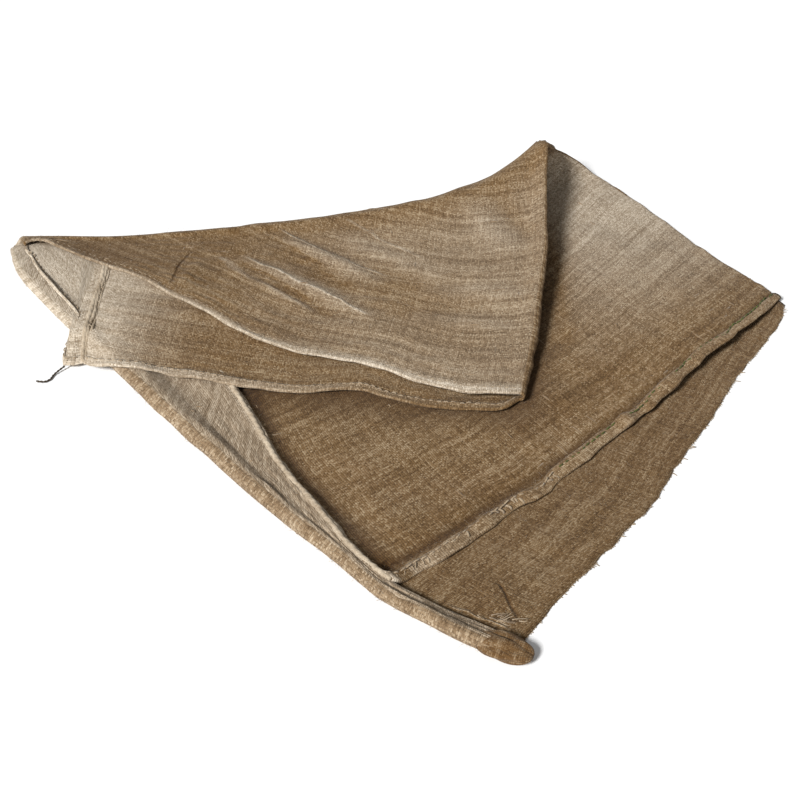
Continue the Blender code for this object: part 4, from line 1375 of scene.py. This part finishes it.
def dull(g, colour, relief, strength, depth, sheen):
    """The material of a dull fibrous surface with this colour and relief."""
    bump = g.node("ShaderNodeBump", inputs={"Strength": strength, "Distance": depth, "Height": relief})
    settings = {"Base Color": colour, "Roughness": ROUGHNESS, "Specular IOR Level": SPECULAR, "Normal": bump,
                "Sheen Weight": sheen, "Sheen Roughness": SHEEN_ROUGHNESS, "Sheen Tint": SHEEN_TINT}
    for name, value in settings.items():
        g.feed(g.shader.inputs[name], value)
    return g.material


def hessian(name, light=1.0):
    """Plain-woven jute: uneven threads over and under each other, with slubs and pale flecks.

    Below 1 the light makes it browner, and leaves out the pale and dark lines.
    """
    g = Graph(name)
    uv = g.node("ShaderNodeUVMap", uv_map="threads")
    split = g.tree.nodes.new("ShaderNodeSeparateXYZ")
    g.feed(split.inputs[0], g.drifted(uv, 28.0, (0.006, 0.006, 0.0)))
    x, y = (g.math("DIVIDE", split.outputs[axis], THREAD_SPACING) for axis in (0, 1))
    column_number, row_number = g.math("FLOOR", x), g.math("FLOOR", y)
    fx, fy = (g.math("SUBTRACT", g.math("FRACT", count), 0.5) for count in (x, y))
    odd = g.math("MODULO", g.math("ABSOLUTE", g.math("ADD", column_number, row_number)), 2.0)
    parity = g.math("MULTIPLY_ADD", odd, 2.0, -1.0)
    warp_slub = g.noise(g.vector("MULTIPLY", uv, (480.0, 75.0, 1.0)), 1.0)
    weft_slub = g.noise(g.vector("MULTIPLY", uv, (75.0, 480.0, 1.0)), 1.0)
    warp = one_way(g, fx, fy, parity, warp_slub)
    weft = one_way(g, fy, fx, g.math("MULTIPLY", parity, -1.0), weft_slub)
    height = g.math("MAXIMUM", warp, weft)
    on_top = g.math("GREATER_THAN", weft, warp)
    slub = g.node("ShaderNodeMix", inputs={0: on_top, 2: warp_slub, 3: weft_slub})
    crossing = g.node("ShaderNodeCombineXYZ", inputs={0: column_number, 1: row_number, 2: on_top})
    thread = g.node("ShaderNodeMix", inputs={0: on_top, 2: column_number, 3: row_number})
    thread = g.node("ShaderNodeCombineXYZ", inputs={0: thread, 1: on_top, 2: 7.0})
    patches = g.noise(uv, 7.0, 5.0, 0.62)
    blotches = g.noise(uv, 70.0, 3.0, 0.6)
    fleck = g.noise(uv, 1150.0, 2.0, 0.6)
    speckle = g.noise(uv, 600.0, 3.0, 0.75)
    streaks = g.noise(g.vector("MULTIPLY", uv, (5.0, 95.0, 1.0)), 1.0, 4.0, 0.6)
    tone = g.add_up((g.white(crossing), 0.40), (g.white(thread), 0.22), (slub, 0.50), (patches, 0.35),
                    (blotches, 0.15), (fleck, 0.60), (speckle, 0.60), (streaks, 0.85))
    colour = g.mix(g.ramp(tone, BROWN_TONE, MIDDLE_TONE), BROWN, MIDDLE)
    colour = g.mix(g.ramp(tone, MIDDLE_TONE, PALE_TONE), colour, PALE)
    # rubbing, painted light and painted shade, from the cloth's attribute and the crest lines
    rub_and_painted_light = g.node("ShaderNodeAttribute", output=2, attribute_name="wear_and_painted_shading")
    crest_shading = crest_highlights_and_shades(g) if light == 1.0 else 0.0
    rub_and_painted_light = g.math("MULTIPLY_ADD", crest_shading, 0.55, rub_and_painted_light)
    rub_and_painted_light = g.math("MULTIPLY", rub_and_painted_light, g.ramp(tone, *RUB_AND_PAINTED_LIGHT_BY_TONE))
    rubbed_or_lit = g.mix(g.ramp(tone, *RUBBED_OR_LIT_TONES), WORN_OR_LIT_DARKEST, WORN_OR_LIT_PALEST)
    colour = g.mix(g.math("MAXIMUM", g.math("MINIMUM", rub_and_painted_light, 1.0), 0.0), colour, rubbed_or_lit)
    # painted shade: where the attribute is below zero the colours are darkened
    painted_shade_share = g.math("MAXIMUM", g.math("MULTIPLY", rub_and_painted_light, -1.0), 0.0)
    shade = g.mix(g.math("MINIMUM", painted_shade_share, 1.0), (1.0, 1.0, 1.0, 1.0), PAINTED_SHADE)
    colour = g.vector("MULTIPLY", colour, shade)
    # painted shade in the gaps between the threads
    colour = g.mix(g.ramp(height, -0.50, 0.30, 0.95, 0.0), colour, GAP_SHADE)
    if light != 1.0:
        colour = g.mix(1.0 - light, colour, KNOB_BROWN)
    relief = g.add_up((height, 1.0), (fleck, 0.35), (blotches, 0.9), (crest_shading, 2.0))
    return dull(g, colour, relief, 0.85, 0.0007, SHEEN_WEIGHT)


# The yarns' colours where they are pale and where they are dark, and their sheen.
YARNS = {
    "tail_yarn": ((0.085, 0.062, 0.042, 1.0), (0.020, 0.014, 0.009, 1.0), 0.15),
    "seam_yarn": ((0.58, 0.49, 0.37, 1.0), (0.24, 0.175, 0.11, 1.0), 0.15),
    "pale_yarn": ((0.47, 0.37, 0.25, 1.0), (0.15, 0.095, 0.05, 1.0), 0.4),
    "green_yarn": ((0.110, 0.130, 0.036, 1.0), (0.035, 0.042, 0.012, 1.0), 0.1),
    "fibre": ((0.36, 0.28, 0.18, 1.0), (0.16, 0.105, 0.06, 1.0), 0.4),
    "thread_yarn": ((0.31, 0.22, 0.13, 1.0), (0.12, 0.072, 0.034, 1.0), 0.4),
}


def yarn(name):
    """Twisted jute yarn, streaked with darker and lighter fibres."""
    colour, dark, sheen = YARNS[name]
    g = Graph(name)
    place = g.node("ShaderNodeTexCoord", output=3)
    streaks = g.noise(place, 600.0, 4.0, 0.7)
    patches = g.noise(place, 45.0, 3.0, 0.6)
    tone = g.add_up((streaks, 0.7), (patches, 0.5))
    return dull(g, g.mix(g.ramp(tone, 0.42, 0.78), dark, colour), streaks, 0.6, 0.0004, sheen)


# ---------------------------------------------------------------- camera, light and floor

CAMERA_ELEVATION = 40.0
CAMERA_DISTANCE = 1.647
CAMERA_LENS, CAMERA_SENSOR, CAMERA_NEAR = 63.0, 36.0, 0.05


def camera():
    """Looks along +Y and down, at the middle of the tables' coordinates."""
    aim = Vector((-FOOTPRINT_MIDDLE[0], -FOOTPRINT_MIDDLE[1], 0.0))
    rise = math.radians(CAMERA_ELEVATION)
    data = bpy.data.cameras.new("camera")
    data.lens = CAMERA_LENS
    data.sensor_width = CAMERA_SENSOR
    data.clip_start = CAMERA_NEAR
    made = bpy.data.objects.new("camera", data)
    made.location = aim + CAMERA_DISTANCE * Vector((0.0, -math.cos(rise), math.sin(rise)))
    made.rotation_euler = (math.pi / 2 - rise, 0.0, 0.0)
    bpy.context.collection.objects.link(made)
    bpy.context.scene.camera = made


KEY_WAY = (-0.48, -0.60, 0.64)  # towards the key
KEY_ANGLE, KEY_STRENGTH = 0.26, 4.5
WORLD_STRENGTH = 0.27


def light():
    """A broad far key from the left and the front, in a white room."""
    data = bpy.data.lights.new("key", "SUN")
    data.angle = KEY_ANGLE
    data.energy = KEY_STRENGTH
    made = bpy.data.objects.new("key", data)
    made.rotation_euler = Vector(KEY_WAY).to_track_quat("Z", "Y").to_euler()
    bpy.context.collection.objects.link(made)
    world = bpy.data.worlds.new("room")
    world.use_nodes = True
    world.node_tree.nodes["Background"].inputs["Color"].default_value = (1.0, 1.0, 1.0, 1.0)
    world.node_tree.nodes["Background"].inputs["Strength"].default_value = WORLD_STRENGTH
    bpy.context.scene.world = world
    bpy.context.scene.view_settings.view_transform = "Standard"


FLOOR_REACH, FLOOR_HEIGHT = 8.0, -0.0005
FLOOR_DARKER, FLOOR_LIGHTER = (0.93, 0.93, 0.93, 1.0), (0.95, 0.95, 0.95, 1.0)


def floor():
    """A plain pale floor that runs out of the camera's view."""
    corners = ((-1, -1), (1, -1), (1, 1), (-1, 1))
    points = [(x * FLOOR_REACH, y * FLOOR_REACH, FLOOR_HEIGHT) for x, y in corners]
    made = mesh_piece("floor", points, [(0, 1, 2, 3)], smooth=False)
    g = Graph("floor")
    place = g.node("ShaderNodeTexCoord", output=3)
    mottle = g.ramp(g.noise(place, 3.0), 0.3, 0.7)
    g.feed(g.shader.inputs["Base Color"], g.mix(mottle, FLOOR_DARKER, FLOOR_LIGHTER))
    g.shader.inputs["Roughness"].default_value = 0.9
    made.data.materials.append(g.material)


# ---------------------------------------------------------------- the pieces


def rides(piece, material):
    """The piece with its material, which rides the sack."""
    piece.data.materials.append(material)
    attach(piece, "root")
    return piece


def tail():
    """The loose end of the seam's yarn, two plies twisted together, limp on the surface."""
    route = along(TAIL_ROUTE, np.linspace(0, 1, TAIL_POINTS)) - (*FOOTPRINT_MIDDLE, 0)
    path = Path(route, np.tile((0.0, 0.0, 1.0), (len(route), 1)))
    distance = np.arange(0, path.length, TAIL_STEP)
    strands = Strands()
    ply = TAIL_DIAMETER / 4
    for start in (0.0, math.pi):
        turn = start + 2 * math.pi * distance / TAIL_PITCH
        line = path.at(distance, ply * np.cos(turn), ply * np.sin(turn))
        strands.add(line, ply * PLY_FULLNESS, 8)
    cord = strands.piece("yarn_tail")
    rides(cord, yarn("tail_yarn"))
    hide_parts("seam_yarn_tail")


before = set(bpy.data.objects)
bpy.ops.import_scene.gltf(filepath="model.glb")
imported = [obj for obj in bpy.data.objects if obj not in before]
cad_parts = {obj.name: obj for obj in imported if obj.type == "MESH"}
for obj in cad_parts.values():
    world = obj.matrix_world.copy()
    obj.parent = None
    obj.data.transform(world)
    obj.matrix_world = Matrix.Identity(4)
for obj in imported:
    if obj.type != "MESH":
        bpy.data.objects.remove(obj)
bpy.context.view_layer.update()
camera()
tail()
light()
floor()

lay = rumpled(wavy_ends(tube()))
outward = outward_directions(lay)
pale_yarn = yarn("pale_yarn")
hem_pale, hem_green = hem_stitches(lay, outward)
trims = [
    rides(side_seam(lay, outward), yarn("seam_yarn")),
    rides(hem_pale, pale_yarn),
    rides(hem_green, yarn("green_yarn")),
    rides(mouth_stitches(lay, outward), pale_yarn),
    rides(thick_threads(lay, outward), yarn("thread_yarn")),
    rides(frayed_edges(lay), pale_yarn),
    rides(fuzz(lay, outward), yarn("fibre")),
    rides(rolled_end(), hessian("hessian_end", 0.6)),
]
sheet = rides(cloth(lay, outward), hessian("hessian"))
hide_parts("sack_cloth")
